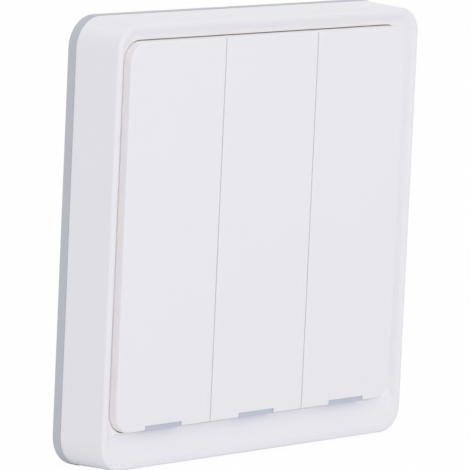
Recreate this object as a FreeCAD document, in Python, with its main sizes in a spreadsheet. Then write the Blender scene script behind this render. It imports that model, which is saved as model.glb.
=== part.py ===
import FreeCAD, Part
import math
import os
import re
import Sketcher

# A battery powered remote wall switch with three rocker keys.
# Frame: +X to the right and +Z up as seen by the user, +Y into the wall.
# The origin is the centre of the face that lies on the wall, so a height
# above the wall is a distance along -Y.

SIZES = [
    # wall plate
    ("plate_width", 86.0),
    ("plate_height", 86.0),
    ("plate_corner", 6.1),
    ("plate_thickness", 2.1),
    ("plate_edge_round", 0.3),
    ("rim_thickness", 1.2),
    ("rim_height", 1.5),
    ("slot_inset", 13.0),
    ("slot_radius", 2.2),
    ("slot_run", 4.6),
    ("slot_sink_radius", 4.0),
    ("slot_sink_depth", 0.9),
    ("plate_hook_inset", 21.0),
    ("plate_hook_width", 6.0),
    ("plate_hook_thickness", 1.2),
    ("plate_hook_barb", 0.7),
    ("plate_hook_tip", 1.4),
    # bezel frame
    ("frame_inset", 0.1),
    ("frame_wall", 1.9),
    ("side_lean", 0.8),
    ("end_lean", 0.5),
    ("frame_corner", 6.0),
    ("front_corner", 5.0),
    ("side_crest", 1.3),
    ("top_crest", 1.0),
    ("bottom_crest", 1.6),
    ("rim_round", 0.48),
    ("dish_round", 1.3),
    ("dish_depth", 1.95),
    ("lip_thickness", 1.0),
    ("foot_round", 0.1),
    ("pry_width", 8.0),
    ("pry_height", 1.2),
    ("pry_depth", 1.2),
    ("snap_length", 10.0),
    ("snap_height", 1.2),
    ("snap_depth", 0.35),
    # keys
    ("side_border", 4.4),
    ("top_border", 4.1),
    ("bottom_border", 7.55),
    ("key_gap", 0.2),
    ("key_corner", 4.0),
    ("key_inner_corner", 0.3),
    ("key_clearance", 0.2),
    ("key_plate", 1.5),
    ("key_skirt", 0.9),
    ("key_wall", 1.2),
    ("key_edge_round", 0.4),
    ("key_side_round", 0.12),
    ("key_space", 2.5),
    ("key_rib_gap", 0.15),
    ("key_rib_width", 0.8),
    ("key_rib_height", 0.5),
    ("notch_width", 10.1),
    ("notch_height", 1.05),
    # hinge of a key
    ("pivot_inset", 4.9),
    ("pivot_back", 1.5),
    ("pin_radius", 0.9),
    ("pin_clearance", 0.05),
    ("pin_length", 1.6),
    ("ear_inset", 3.8),
    ("ear_thickness", 1.4),
    ("ear_radius", 1.6),
    ("ear_gap", 0.2),
    ("lug_thickness", 1.8),
    ("lug_reach", 2.1),
    ("lug_crown", 0.9),
    ("lug_mouth", 1.5),
    # catch hooks of a key
    ("key_hook_space", 0.95),
    ("key_hook_width", 4.0),
    ("key_hook_foot", 3.45),
    ("key_hook_thickness", 1.2),
    ("key_hook_barb", 0.8),
    ("key_hook_tip", 1.0),
    ("key_hook_gap", 0.1),
    ("key_hook_side", 0.25),
    # light guides
    ("guide_gap", 0.05),
    ("guide_recess", 0.4),
    ("guide_bar", 1.0),
    ("guide_foot", 9.45),
    ("guide_seat", 1.8),
    # key carrier
    ("carrier_clearance", 0.2),
    ("carrier_wall", 1.2),
    ("carrier_foot", 0.3),
    ("deck_thickness", 1.0),
    ("window_back", 1.0),
    ("window_height", 1.9),
    ("window_side", 0.4),
    ("opening_side", 0.4),
    ("boss_radius", 2.1),
    ("boss_height", 0.8),
    # circuit board and what it carries
    ("board_gap", 0.4),
    ("board_thickness", 1.0),
    ("board_side", 7.8),
    ("board_head", 10.0),
    ("board_foot", 6.15),
    ("board_corner", 1.5),
    ("screw_inset", 3.5),
    ("screw_foot", 9.3),
    ("screw_hole_radius", 1.15),
    ("screw_radius", 0.9),
    ("screw_head_radius", 1.8),
    ("screw_head_height", 1.1),
    ("screw_length", 3.0),
    ("screw_cross_width", 0.45),
    ("screw_cross_depth", 0.6),
    ("screw_cross_reach", 1.1),
    ("tact_foot", 24.45),
    ("tact_side", 6.2),
    ("tact_height", 2.0),
    ("tact_bevel", 0.35),
    ("tact_floor", 0.2),
    ("tact_leg_width", 0.7),
    ("tact_leg_reach", 1.1),
    ("tact_leg_thickness", 0.2),
    ("tact_leg_spacing", 4.5),
    ("plunger_radius", 1.7),
    ("plunger_rise", 1.0),
    ("plunger_root", 0.8),
    ("plunger_clearance", 0.1),
    ("plunger_bevel", 0.25),
    ("key_boss_radius", 1.6),
    ("key_boss_gap", 0.1),
    ("lamp_foot", 8.85),
    ("lamp_width", 3.2),
    ("lamp_depth", 2.6),
    ("lamp_height", 0.55),
    ("lamp_dome", 0.25),
    ("lamp_rim", 0.3),
    # coin cell and its contacts
    ("cell_inset", 20.0),
    ("cell_rise", 5.0),
    ("cell_radius", 10.0),
    ("cell_thickness", 3.2),
    ("cell_step", 1.25),
    ("cell_step_height", 0.55),
    ("cell_bevel", 0.4),
    ("cell_air", 0.35),
    ("clip_thickness", 0.25),
    ("clip_width", 4.0),
    ("clip_gap", 0.6),
    ("holder_floor", 0.3),
    ("holder_wall", 1.15),
    ("holder_gap", 0.25),
    ("holder_height", 2.5),
    ("holder_notch", 7.0),
    ("contact_radius", 3.0),
    ("contact_gap", 0.2),
    ("contact_slit", 0.4),
    # radio parts on the rear of the board
    ("chip_across", 16.0),
    ("chip_rise", 4.0),
    ("chip_length", 9.9),
    ("chip_depth", 3.9),
    ("chip_height", 1.45),
    ("chip_stand", 0.15),
    ("chip_leg_width", 0.42),
    ("chip_leg_pitch", 1.27),
    ("chip_leg_reach", 1.05),
    ("chip_leg_thickness", 0.2),
    ("crystal_across", 16.0),
    ("crystal_drop", 4.0),
    ("crystal_length", 5.0),
    ("crystal_depth", 3.2),
    ("crystal_height", 1.1),
    ("crystal_base", 0.35),
    ("crystal_step", 0.25),
    ("crystal_corner", 0.5),
    ("coil_inset", 4.5),
    ("coil_head", 6.5),
    ("coil_radius", 1.4),
    ("coil_wire", 0.25),
    ("coil_pitch", 1.5),
    ("coil_length", 12.0),
    ("passive_length", 1.6),
    ("passive_width", 0.8),
    ("passive_height", 0.5),
    ("passive_pitch", 3.1),
    ("passive_row_pitch", 2.4),
    ("passive_across", 23.0),
    ("passive_drop", 11.0),
]

KEYS = ("left", "middle", "right")
PASSIVE_ROWS = 2
PASSIVES_IN_ROW = 5
CHIP_LEGS_A_SIDE = 8
COIL_WIRE_SIDES = 6
NEAR = 0.001

# Heights above the wall, from the plate forwards. The crest of the frame is
# flush with the faces of the keys.
PLATE_FRONT = "plate_thickness"
CELL_REAR = "(plate_thickness + cell_air + clip_thickness)"
BOARD_REAR = "(" + CELL_REAR + " + cell_thickness + holder_floor)"
BOARD_FRONT = "(" + BOARD_REAR + " + board_thickness)"
DECK_REAR = "(" + BOARD_FRONT + " + board_gap)"
DECK_FRONT = "(" + DECK_REAR + " + deck_thickness)"
KEY_UNDER = "(" + DECK_FRONT + " + key_space)"
KEY_FACE = "(" + KEY_UNDER + " + key_plate)"
KEY_BACK = "(" + KEY_UNDER + " - key_skirt)"
LIP_FRONT = "(" + KEY_FACE + " - dish_depth)"
LIP_REAR = "(" + LIP_FRONT + " - lip_thickness)"
PIVOT = "(" + KEY_UNDER + " - pivot_back)"
CARRIER_REAR = "(plate_thickness + rim_height + carrier_foot)"
PLUNGER_TOP = "(" + BOARD_FRONT + " + tact_height + plunger_rise)"

# Half sizes of the outlines, measured from the centre of the switch.
KEY_WIDTH = "((plate_width - 2 * side_border - %d * key_gap) / %d)" % (len(KEYS) - 1, len(KEYS))
KEY_RISE = "(plate_height / 2 - top_border)"
KEY_DROP = "(plate_height / 2 - bottom_border)"
KEY_PITCH = "(" + KEY_WIDTH + " + key_gap)"
FRAME_HALF = "(plate_width / 2 - frame_inset)"
FRAME_TALL = "(plate_height / 2 - frame_inset)"
CAVITY_HALF = "(" + FRAME_HALF + " - frame_wall)"
CAVITY_TALL = "(" + FRAME_TALL + " - frame_wall)"
CARRIER_HALF = "(" + CAVITY_HALF + " - carrier_clearance)"
CARRIER_TALL = "(" + CAVITY_TALL + " - carrier_clearance)"
CARRIER_CORNER = "(frame_corner - frame_wall - carrier_clearance)"
CREST_HALF = "(" + FRAME_HALF + " - side_lean - side_crest)"
CREST_RISE = "(" + FRAME_TALL + " - end_lean - top_crest)"
CREST_DROP = "(" + FRAME_TALL + " - end_lean - bottom_crest)"
OPENING_HALF = "(plate_width / 2 - side_border + key_clearance)"
OPENING_RISE = "(" + KEY_RISE + " + key_clearance)"
OPENING_DROP = "(" + KEY_DROP + " + key_clearance)"
SLOT_ACROSS = "(plate_width / 2 - slot_inset)"
SLOT_RISE = "(plate_height / 2 - slot_inset)"
PLATE_HOOK = "(plate_width / 2 - plate_hook_inset)"

# Places on a key, measured from its centre line and from its foot.
PIVOT_RISE = "(" + KEY_RISE + " - pivot_inset)"
EAR_SPREAD = "(" + KEY_WIDTH + " / 2 - ear_inset)"
HOOK_SPREAD = "(notch_width / 2 + key_hook_space + key_hook_width / 2)"
HOOK_DROP = "(" + KEY_DROP + " - key_hook_foot)"
RIB_SPREAD = "(notch_width / 2 + key_rib_gap + key_rib_width / 2)"
GUIDE_DROP = "(" + KEY_DROP + " - guide_foot)"
TACT_RISE = "(tact_foot - " + KEY_DROP + ")"
LAMP_DROP = "(" + KEY_DROP + " - lamp_foot)"

# Places on the circuit board.
BOARD_HALF = "(" + CARRIER_HALF + " - board_side)"
BOARD_RISE = "(" + PIVOT_RISE + " - board_head)"
BOARD_DROP = "(" + KEY_DROP + " - board_foot)"
SCREW_ACROSS = "(" + BOARD_HALF + " - screw_inset)"
SCREW_RISE = "(" + BOARD_RISE + " - screw_inset)"
SCREW_DROP = "(" + BOARD_DROP + " - screw_foot)"
SCREW_PLACES = [(across, rise) for across in ("-" + SCREW_ACROSS, SCREW_ACROSS)
                for rise in (SCREW_RISE, "-" + SCREW_DROP)]
CELL_ACROSS = "(" + BOARD_HALF + " - cell_inset)"

doc = FreeCAD.newDocument("wall_remote")
sheet = doc.addObject("Spreadsheet::Sheet", "Sizes")
for row, (alias, number) in enumerate(SIZES, start=1):
    sheet.set("A%d" % row, alias.replace("_", " "))
    sheet.set("B%d" % row, str(number))
    sheet.setAlias("B%d" % row, alias)
doc.recompute()
ALIASES = {alias for alias, number in SIZES}


def bound(formula):
    """A formula of size names, as an expression that reads the sheet."""
    return re.sub(r"[a-z_]+", lambda word: "Sizes." + word.group() if word.group() in ALIASES
                  else word.group(), formula)


def measure(formula):
    """The value that a formula of size names has now."""
    return float(sheet.evalExpression(bound(formula)))


def minus(formula):
    return "-(" + formula + ")"


def new_body(name, across="", rise=""):
    """An empty body whose own centre lies at a place across and up the switch."""
    body = doc.addObject("PartDesign::Body", name)
    body.Label = name
    if across:
        body.setExpression("Placement.Base.x", bound(across))
    if rise:
        body.setExpression("Placement.Base.z", bound(rise))
    return body


def sketch_on(body, name, role, offset):
    plane = [item for item in body.Origin.OriginFeatures if item.Role == role][0]
    sketch = body.newObject("Sketcher::SketchObject", name)
    sketch.AttachmentSupport = [(plane, "")]
    sketch.MapMode = "FlatFace"
    if offset != "0":
        sketch.setExpression("AttachmentOffset.Base.z", bound(offset))
    return sketch


def front_sketch(body, name, height):
    """A sketch seen from the front, at a height above the wall."""
    return sketch_on(body, name, "XZ_Plane", height)


def side_sketch(body, name, across):
    """A section seen from the side: its x is minus the height, its y is up."""
    return sketch_on(body, name, "YZ_Plane", across)


def hold(sketch, kind, *places):
    """Add a constraint, and bind its size to the sheet if it has one."""
    formula = None
    if isinstance(places[-1], str):
        formula = places[-1]
        places = places[:-1] + (measure(formula),)
    index = sketch.addConstraint(Sketcher.Constraint(kind, *places))
    if formula:
        sketch.setExpression("Constraints[%d]" % index, bound(formula))


def pin_point(sketch, edge, end, x, y):
    """Hold one end of an edge, or a centre, at a place in the sketch."""
    origin = (-1, 1)
    for kind, axis, formula in (("DistanceX", -2, x), ("DistanceY", -1, y)):
        if abs(measure(formula)) < NEAR:
            hold(sketch, "PointOnObject", edge, end, axis)
        else:
            hold(sketch, kind, *origin, edge, end, formula)


def draw_polygon(sketch, points):
    """A closed outline through points given as pairs of formulas."""
    places = [FreeCAD.Vector(measure(x), measure(y), 0) for x, y in points]
    ends = places[1:] + places[:1]
    edges = [sketch.addGeometry(Part.LineSegment(a, b)) for a, b in zip(places, ends)]
    for index, edge in enumerate(edges):
        hold(sketch, "Coincident", edge, 2, edges[(index + 1) % len(edges)], 1)
    for edge, (x, y) in zip(edges, points):
        pin_point(sketch, edge, 1, x, y)


def draw_box(sketch, left, bottom, right, top):
    draw_polygon(sketch, [(left, bottom), (right, bottom), (right, top), (left, top)])


def draw_rounded(sketch, left, bottom, right, top, corners):
    """A rectangle with a radius at its four corners, from the lower right
    one round by the upper right one; all four are written as formulas."""
    x0, y0, x1, y1 = [measure(side) for side in (left, bottom, right, top)]
    radii = [measure(corner) for corner in corners]
    centres = [(x1 - radii[0], y0 + radii[0]), (x1 - radii[1], y1 - radii[1]),
               (x0 + radii[2], y1 - radii[2]), (x0 + radii[3], y0 + radii[3])]
    starts = [(x0 + radii[3], y0), (x1, y0 + radii[0]), (x1 - radii[1], y1), (x0, y1 - radii[2])]
    ends = [(x1 - radii[0], y0), (x1, y1 - radii[1]), (x0 + radii[2], y1), (x0, y0 + radii[3])]
    edges = []
    for turn in range(4):
        start = FreeCAD.Vector(*starts[turn], 0)
        end = FreeCAD.Vector(*ends[turn], 0)
        edges.append(sketch.addGeometry(Part.LineSegment(start, end)))
        centre = FreeCAD.Vector(*centres[turn], 0)
        ring = Part.Circle(centre, FreeCAD.Vector(0, 0, 1), radii[turn])
        first = math.radians(90 * turn - 90)
        edges.append(sketch.addGeometry(Part.ArcOfCircle(ring, first, first + math.radians(90))))
    for index, edge in enumerate(edges):
        hold(sketch, "Tangent", edge, 2, edges[(index + 1) % len(edges)], 1)
    lower, lower_right, right_side, upper_right, upper, upper_left, left_side, lower_left = edges
    for edge in (lower, upper):
        hold(sketch, "Horizontal", edge)
    for edge in (left_side, right_side):
        hold(sketch, "Vertical", edge)
    for edge, corner in zip((lower_right, upper_right, upper_left, lower_left), corners):
        hold(sketch, "Radius", edge, corner)
    hold(sketch, "DistanceX", -1, 1, left_side, 1, left)
    hold(sketch, "DistanceX", -1, 1, right_side, 1, right)
    hold(sketch, "DistanceY", -1, 1, lower, 1, bottom)
    hold(sketch, "DistanceY", -1, 1, upper, 1, top)


def draw_centred(sketch, half_width, half_height, corner):
    draw_rounded(sketch, minus(half_width), minus(half_height), half_width, half_height, [corner] * 4)


def draw_circle(sketch, x, y, radius):
    centre = FreeCAD.Vector(measure(x), measure(y), 0)
    edge = sketch.addGeometry(Part.Circle(centre, FreeCAD.Vector(0, 0, 1), measure(radius)))
    hold(sketch, "Radius", edge, radius)
    pin_point(sketch, edge, 3, x, y)


def draw_slot(sketch, x, y, radius, upright):
    """A slot whose straight run lies along the sketch's x, or along its y."""
    turn = math.radians(90) if upright else 0.0
    quarter = math.radians(90)
    normal = FreeCAD.Vector(0, 0, 1)
    centre = FreeCAD.Vector(measure(x), measure(y), 0)
    along = FreeCAD.Vector(math.cos(turn), math.sin(turn), 0) * (measure("slot_run") / 2)
    across = FreeCAD.Vector(-math.sin(turn), math.cos(turn), 0) * measure(radius)
    near_ring = Part.Circle(centre - along, normal, measure(radius))
    far_ring = Part.Circle(centre + along, normal, measure(radius))
    forms = [
        Part.LineSegment(centre - along - across, centre + along - across),
        Part.ArcOfCircle(far_ring, turn - quarter, turn + quarter),
        Part.LineSegment(centre + along + across, centre - along + across),
        Part.ArcOfCircle(near_ring, turn + quarter, turn + 3 * quarter),
    ]
    edges = [sketch.addGeometry(form) for form in forms]
    for index, edge in enumerate(edges):
        hold(sketch, "Tangent", edge, 2, edges[(index + 1) % len(edges)], 1)
    first_side, far_end, last_side, near_end = edges
    hold(sketch, "Vertical" if upright else "Horizontal", first_side)
    hold(sketch, "Radius", far_end, radius)
    for edge, shift in ((far_end, " + slot_run / 2"), (near_end, " - slot_run / 2")):
        if upright:
            pin_point(sketch, edge, 3, x, y + shift)
        else:
            pin_point(sketch, edge, 3, x + shift, y)


def volume_of(body):
    doc.recompute()
    return body.Shape.Volume if body.Tip else 0.0


def pad(body, name, sketch, length):
    """Raise a sketch along its normal, and see that material was added."""
    before = volume_of(body)
    feature = body.newObject("PartDesign::Pad", name)
    feature.Profile = sketch
    feature.setExpression("Length", bound(length))
    if volume_of(body) <= before:
        raise RuntimeError(name + " adds nothing")
    return feature


def pocket(body, name, sketch, depth, forwards=True):
    """Cut a sketch along its normal, or against it, and see that it cut."""
    before = volume_of(body)
    feature = body.newObject("PartDesign::Pocket", name)
    feature.Profile = sketch
    feature.Reversed = forwards
    feature.setExpression("Length", bound(depth))
    if volume_of(body) >= before:
        raise RuntimeError(name + " cuts nothing")
    return feature


def mirror(body, name, features, role):
    """Repeat features on the other side of one of the body's own planes."""
    plane = [item for item in body.Origin.OriginFeatures if item.Role == role][0]
    feature = body.newObject("PartDesign::Mirrored", name)
    feature.Originals = features
    feature.MirrorPlane = (plane, [""])
    body.Tip = feature
    doc.recompute()
    return feature


def edges_at(feature, height, inside=None):
    """Names of the edges that lie wholly at one height above the wall."""
    level = -measure(height)
    names = []
    for index, edge in enumerate(feature.Shape.Edges, start=1):
        box = edge.BoundBox
        flat = abs(box.YMin - level) < NEAR and abs(box.YMax - level) < NEAR
        if flat and (inside is None or inside(box)):
            names.append("Edge%d" % index)
    return names


def edges_across(feature, inside):
    """Names of the straight edges that run from the wall towards the front."""
    names = []
    for index, edge in enumerate(feature.Shape.Edges, start=1):
        box = edge.BoundBox
        if box.XLength < NEAR and box.ZLength < NEAR and inside(box):
            names.append("Edge%d" % index)
    return names


def soften(body, kind, name, names, size_name, size):
    """Round or bevel edges of the body's last feature, and see that it did."""
    before = volume_of(body)
    base = body.Tip
    feature = body.newObject("PartDesign::" + kind, name)
    feature.Base = (base, names)
    feature.setExpression(size_name, bound(size))
    body.Tip = feature
    if volume_of(body) == before:
        raise RuntimeError(name + " changes nothing")
    return feature


def round_edges(body, name, names, radius):
    return soften(body, "Fillet", name, names, "Radius", radius)


def bevel_edges(body, name, names, size):
    return soften(body, "Chamfer", name, names, "Size", size)


def loft(body, name, kind, first, second):
    """A drafted form between two sketches, added or cut."""
    feature = body.newObject("PartDesign::" + kind, name)
    feature.Profile = first
    feature.Sections = [second]
    feature.Ruled = True
    doc.recompute()
    return feature


def make_mounting_plate():
    """The grey plate that is screwed to the wall and that the switch clips on."""
    body = new_body("mounting_plate")
    outline = front_sketch(body, "plate_outline", "0")
    draw_centred(outline, "plate_width / 2", "plate_height / 2", "plate_corner")
    slab = pad(body, "plate_slab", outline, PLATE_FRONT)
    round_edges(body, "plate_edge", edges_at(slab, "0"), "plate_edge_round")

    rim = front_sketch(body, "plate_rim_outline", PLATE_FRONT)
    draw_centred(rim, CARRIER_HALF, CARRIER_TALL, CARRIER_CORNER)
    draw_centred(rim, CARRIER_HALF + " - rim_thickness", CARRIER_TALL + " - rim_thickness",
                 CARRIER_CORNER + " - rim_thickness")
    pad(body, "plate_rim", rim, "rim_height")

    slots = front_sketch(body, "plate_slot_outline", "0")
    sinks = front_sketch(body, "plate_sink_outline", PLATE_FRONT + " - slot_sink_depth")
    for x, y, upright in (("-" + SLOT_ACROSS, "0", False), (SLOT_ACROSS, "0", False),
                          ("0", "-" + SLOT_RISE, True), ("0", SLOT_RISE, True)):
        draw_slot(slots, x, y, "slot_radius", upright)
        draw_slot(sinks, x, y, "slot_sink_radius", upright)
    pocket(body, "plate_slots", slots, PLATE_FRONT)
    pocket(body, "plate_sinks", sinks, "slot_sink_depth")

    outer = "(" + CARRIER_TALL + " - carrier_wall - carrier_clearance)"
    inner = "(" + outer + " - plate_hook_thickness)"
    ledge = "(" + CARRIER_REAR + " + window_back + carrier_clearance / 2)"
    tip = "(" + ledge + " + plate_hook_tip)"
    for side, sign in (("left", "-"), ("right", "")):
        start = sign + PLATE_HOOK + " - plate_hook_width / 2"
        section = side_sketch(body, "plate_hook_section_" + side, start)
        for way in (str, minus):
            draw_polygon(section, [
                (minus(PLATE_FRONT), way(inner)),
                (minus(PLATE_FRONT), way(outer)),
                (minus(ledge), way(outer)),
                (minus(ledge), way(outer + " + plate_hook_barb")),
                (minus(tip), way(outer)),
                (minus(tip), way(inner)),
            ])
        pad(body, "plate_hooks_" + side, section, "plate_hook_width")
    return body


def make_frame():
    """The white bezel: drafted walls, a rounded crest and a dished border
    that falls to the opening of the keys and is wider below them."""
    body = new_body("frame")
    foot = front_sketch(body, "frame_foot_outline", PLATE_FRONT)
    draw_centred(foot, FRAME_HALF, FRAME_TALL, "frame_corner")
    front = front_sketch(body, "frame_front_outline", KEY_FACE)
    draw_centred(front, FRAME_HALF + " - side_lean", FRAME_TALL + " - end_lean", "front_corner")
    loft(body, "frame_walls", "AdditiveLoft", foot, front)

    cavity = front_sketch(body, "frame_cavity_outline", PLATE_FRONT)
    draw_centred(cavity, CAVITY_HALF, CAVITY_TALL, "frame_corner - frame_wall")
    pocket(body, "frame_cavity", cavity, LIP_REAR + " - " + PLATE_FRONT)

    opening_sides = [minus(OPENING_HALF), minus(OPENING_DROP), OPENING_HALF, OPENING_RISE]
    opening_corners = ["key_corner + key_clearance"] * 4
    opening = front_sketch(body, "frame_opening_outline", LIP_REAR)
    draw_rounded(opening, *opening_sides, opening_corners)
    pocket(body, "frame_opening", opening, "lip_thickness + dish_depth")

    dish_top = front_sketch(body, "frame_dish_outline", KEY_FACE)
    draw_rounded(dish_top, minus(CREST_HALF), minus(CREST_DROP), CREST_HALF, CREST_RISE,
                 ["front_corner - side_crest"] * 4)
    dish_foot = front_sketch(body, "frame_dish_foot_outline", LIP_FRONT)
    draw_rounded(dish_foot, *opening_sides, opening_corners)
    loft(body, "frame_dish", "SubtractiveLoft", dish_top, dish_foot)

    reach = measure(CREST_HALF) + NEAR
    rise = measure(CREST_RISE) + NEAR

    def within(box):
        return max(abs(box.XMin), abs(box.XMax)) < reach and max(abs(box.ZMin), abs(box.ZMax)) < rise

    outer = edges_at(body.Tip, KEY_FACE, lambda box: not within(box))
    round_edges(body, "frame_crest", outer, "rim_round")
    round_edges(body, "frame_dish_edge", edges_at(body.Tip, KEY_FACE, within), "dish_round")
    wall_middle = measure(CAVITY_HALF + " + frame_wall / 2")
    tall_middle = measure(CAVITY_TALL + " + frame_wall / 2")
    outer = edges_at(body.Tip, PLATE_FRONT, lambda box: max(abs(box.XMin), abs(box.XMax)) > wall_middle
                     or max(abs(box.ZMin), abs(box.ZMax)) > tall_middle)
    round_edges(body, "frame_foot", outer, "foot_round")

    pry = front_sketch(body, "frame_pry_outline", PLATE_FRONT)
    draw_box(pry, "-pry_width / 2", minus(FRAME_TALL + " + frame_inset"),
             "pry_width / 2", minus(FRAME_TALL + " - pry_depth"))
    pocket(body, "frame_pry_notch", pry, "pry_height")

    groove = side_sketch(body, "frame_snap_section", CAVITY_HALF)
    snap_low = CARRIER_REAR + " + window_back"
    draw_box(groove, minus(snap_low + " + snap_height + carrier_clearance"),
             "-snap_length / 2 - carrier_clearance",
             minus(snap_low + " - carrier_clearance"), "snap_length / 2 + carrier_clearance")
    cut = pocket(body, "frame_snap_groove", groove, "snap_depth + carrier_clearance / 2")
    mirror(body, "frame_snap_grooves", [cut], "YZ_Plane")
    return body


def key_centre(index):
    """Place of a key's centre line across the switch."""
    return "%d * %s" % (index - len(KEYS) // 2, KEY_PITCH)


def make_key_carrier():
    """The chassis clipped in the frame: a deck with the keys' bearings in
    front, the circuit board behind, and a wall all round it."""
    body = new_body("key_carrier")
    deck = front_sketch(body, "deck_outline", DECK_REAR)
    draw_centred(deck, CARRIER_HALF, CARRIER_TALL, CARRIER_CORNER)
    pad(body, "deck", deck, "deck_thickness")
    wall = front_sketch(body, "carrier_wall_outline", CARRIER_REAR)
    draw_centred(wall, CARRIER_HALF, CARRIER_TALL, CARRIER_CORNER)
    draw_centred(wall, CARRIER_HALF + " - carrier_wall", CARRIER_TALL + " - carrier_wall",
                 CARRIER_CORNER + " - carrier_wall")
    pad(body, "carrier_walls", wall, LIP_REAR + " - " + CARRIER_REAR)

    bosses = front_sketch(body, "carrier_boss_outline", BOARD_FRONT)
    bores = front_sketch(body, "carrier_bore_outline", BOARD_FRONT)
    for across, rise in SCREW_PLACES:
        draw_circle(bosses, across, rise, "boss_radius")
        draw_circle(bores, across, rise, "screw_radius")
    pad(body, "carrier_bosses", bosses, "board_gap + deck_thickness + boss_height")

    # bearing lugs, cut by a bore with a mouth that the pin snaps through
    bearing_inner = "(" + EAR_SPREAD + " + ear_gap)"
    for index, name in enumerate(KEYS):
        for side, edge in (("left", "-" + bearing_inner + " - lug_thickness"), ("right", bearing_inner)):
            label = name + "_" + side
            start = key_centre(index) + " + " + edge
            section = side_sketch(body, "lug_section_" + label, start)
            draw_box(section, minus(PIVOT + " + lug_crown"), PIVOT_RISE + " - lug_reach",
                     minus(DECK_FRONT + " - deck_thickness / 2"), PIVOT_RISE + " + lug_reach")
            pad(body, "lug_" + label, section, "lug_thickness")
            bore = side_sketch(body, "lug_bore_section_" + label, start)
            draw_circle(bore, minus(PIVOT), PIVOT_RISE, "pin_radius + pin_clearance")
            pocket(body, "lug_bore_" + label, bore, "lug_thickness")
            mouth = side_sketch(body, "lug_mouth_section_" + label, start)
            draw_box(mouth, minus(PIVOT + " + lug_crown + pin_clearance"),
                     PIVOT_RISE + " - lug_mouth / 2", minus(PIVOT), PIVOT_RISE + " + lug_mouth / 2")
            pocket(body, "lug_mouth_" + label, mouth, "lug_thickness")

    holes = front_sketch(body, "deck_hole_outline", DECK_REAR)
    for index in range(len(KEYS)):
        centre = key_centre(index)
        half = "(tact_side / 2 + opening_side)"
        draw_box(holes, centre + " - " + half, TACT_RISE + " - " + half, centre + " + " + half,
                 TACT_RISE + " + " + half)
        lamp_half = "(lamp_width / 2 + opening_side)"
        lamp_tall = "(lamp_depth / 2 + opening_side)"
        draw_box(holes, centre + " - " + lamp_half, "-" + LAMP_DROP + " - " + lamp_tall,
                 centre + " + " + lamp_half, "-" + LAMP_DROP + " + " + lamp_tall)
        for sign in ("-", "+"):
            hook = "(" + centre + " " + sign + " " + HOOK_SPREAD + ")"
            hook_half = "(key_hook_width / 2 + opening_side)"
            draw_box(holes, hook + " - " + hook_half,
                     "-" + HOOK_DROP + " - key_hook_thickness - 2 * key_hook_side",
                     hook + " + " + hook_half, "-" + HOOK_DROP + " + key_hook_side")
            ear = "(" + centre + " " + sign + " (" + EAR_SPREAD + " - ear_thickness / 2))"
            ear_half = "(ear_thickness / 2 + ear_gap)"
            draw_box(holes, ear + " - " + ear_half, PIVOT_RISE + " - ear_radius - opening_side",
                     ear + " + " + ear_half, PIVOT_RISE + " + ear_radius + opening_side")
    pocket(body, "deck_holes", holes, "deck_thickness")
    pocket(body, "carrier_bores", bores, "board_gap + deck_thickness + boss_height")

    # windows in the upper and lower walls for the hooks of the mounting plate
    windows = front_sketch(body, "carrier_window_outline", CARRIER_REAR + " + window_back")
    for across in ("-" + PLATE_HOOK, PLATE_HOOK):
        half = "(plate_hook_width / 2 + window_side)"
        for low, high in ((CARRIER_TALL + " - carrier_wall", CARRIER_TALL),
                          (minus(CARRIER_TALL), minus(CARRIER_TALL + " - carrier_wall"))):
            draw_box(windows, across + " - " + half, low, across + " + " + half, high)
    pocket(body, "carrier_windows", windows, "window_height")

    ridge = side_sketch(body, "carrier_snap_section", CARRIER_HALF)
    snap_low = CARRIER_REAR + " + window_back"
    draw_box(ridge, minus(snap_low + " + snap_height"), "-snap_length / 2",
             minus(snap_low), "snap_length / 2")
    raised = pad(body, "carrier_snap", ridge, "snap_depth")
    mirror(body, "carrier_snaps", [raised], "YZ_Plane")
    return body


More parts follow.
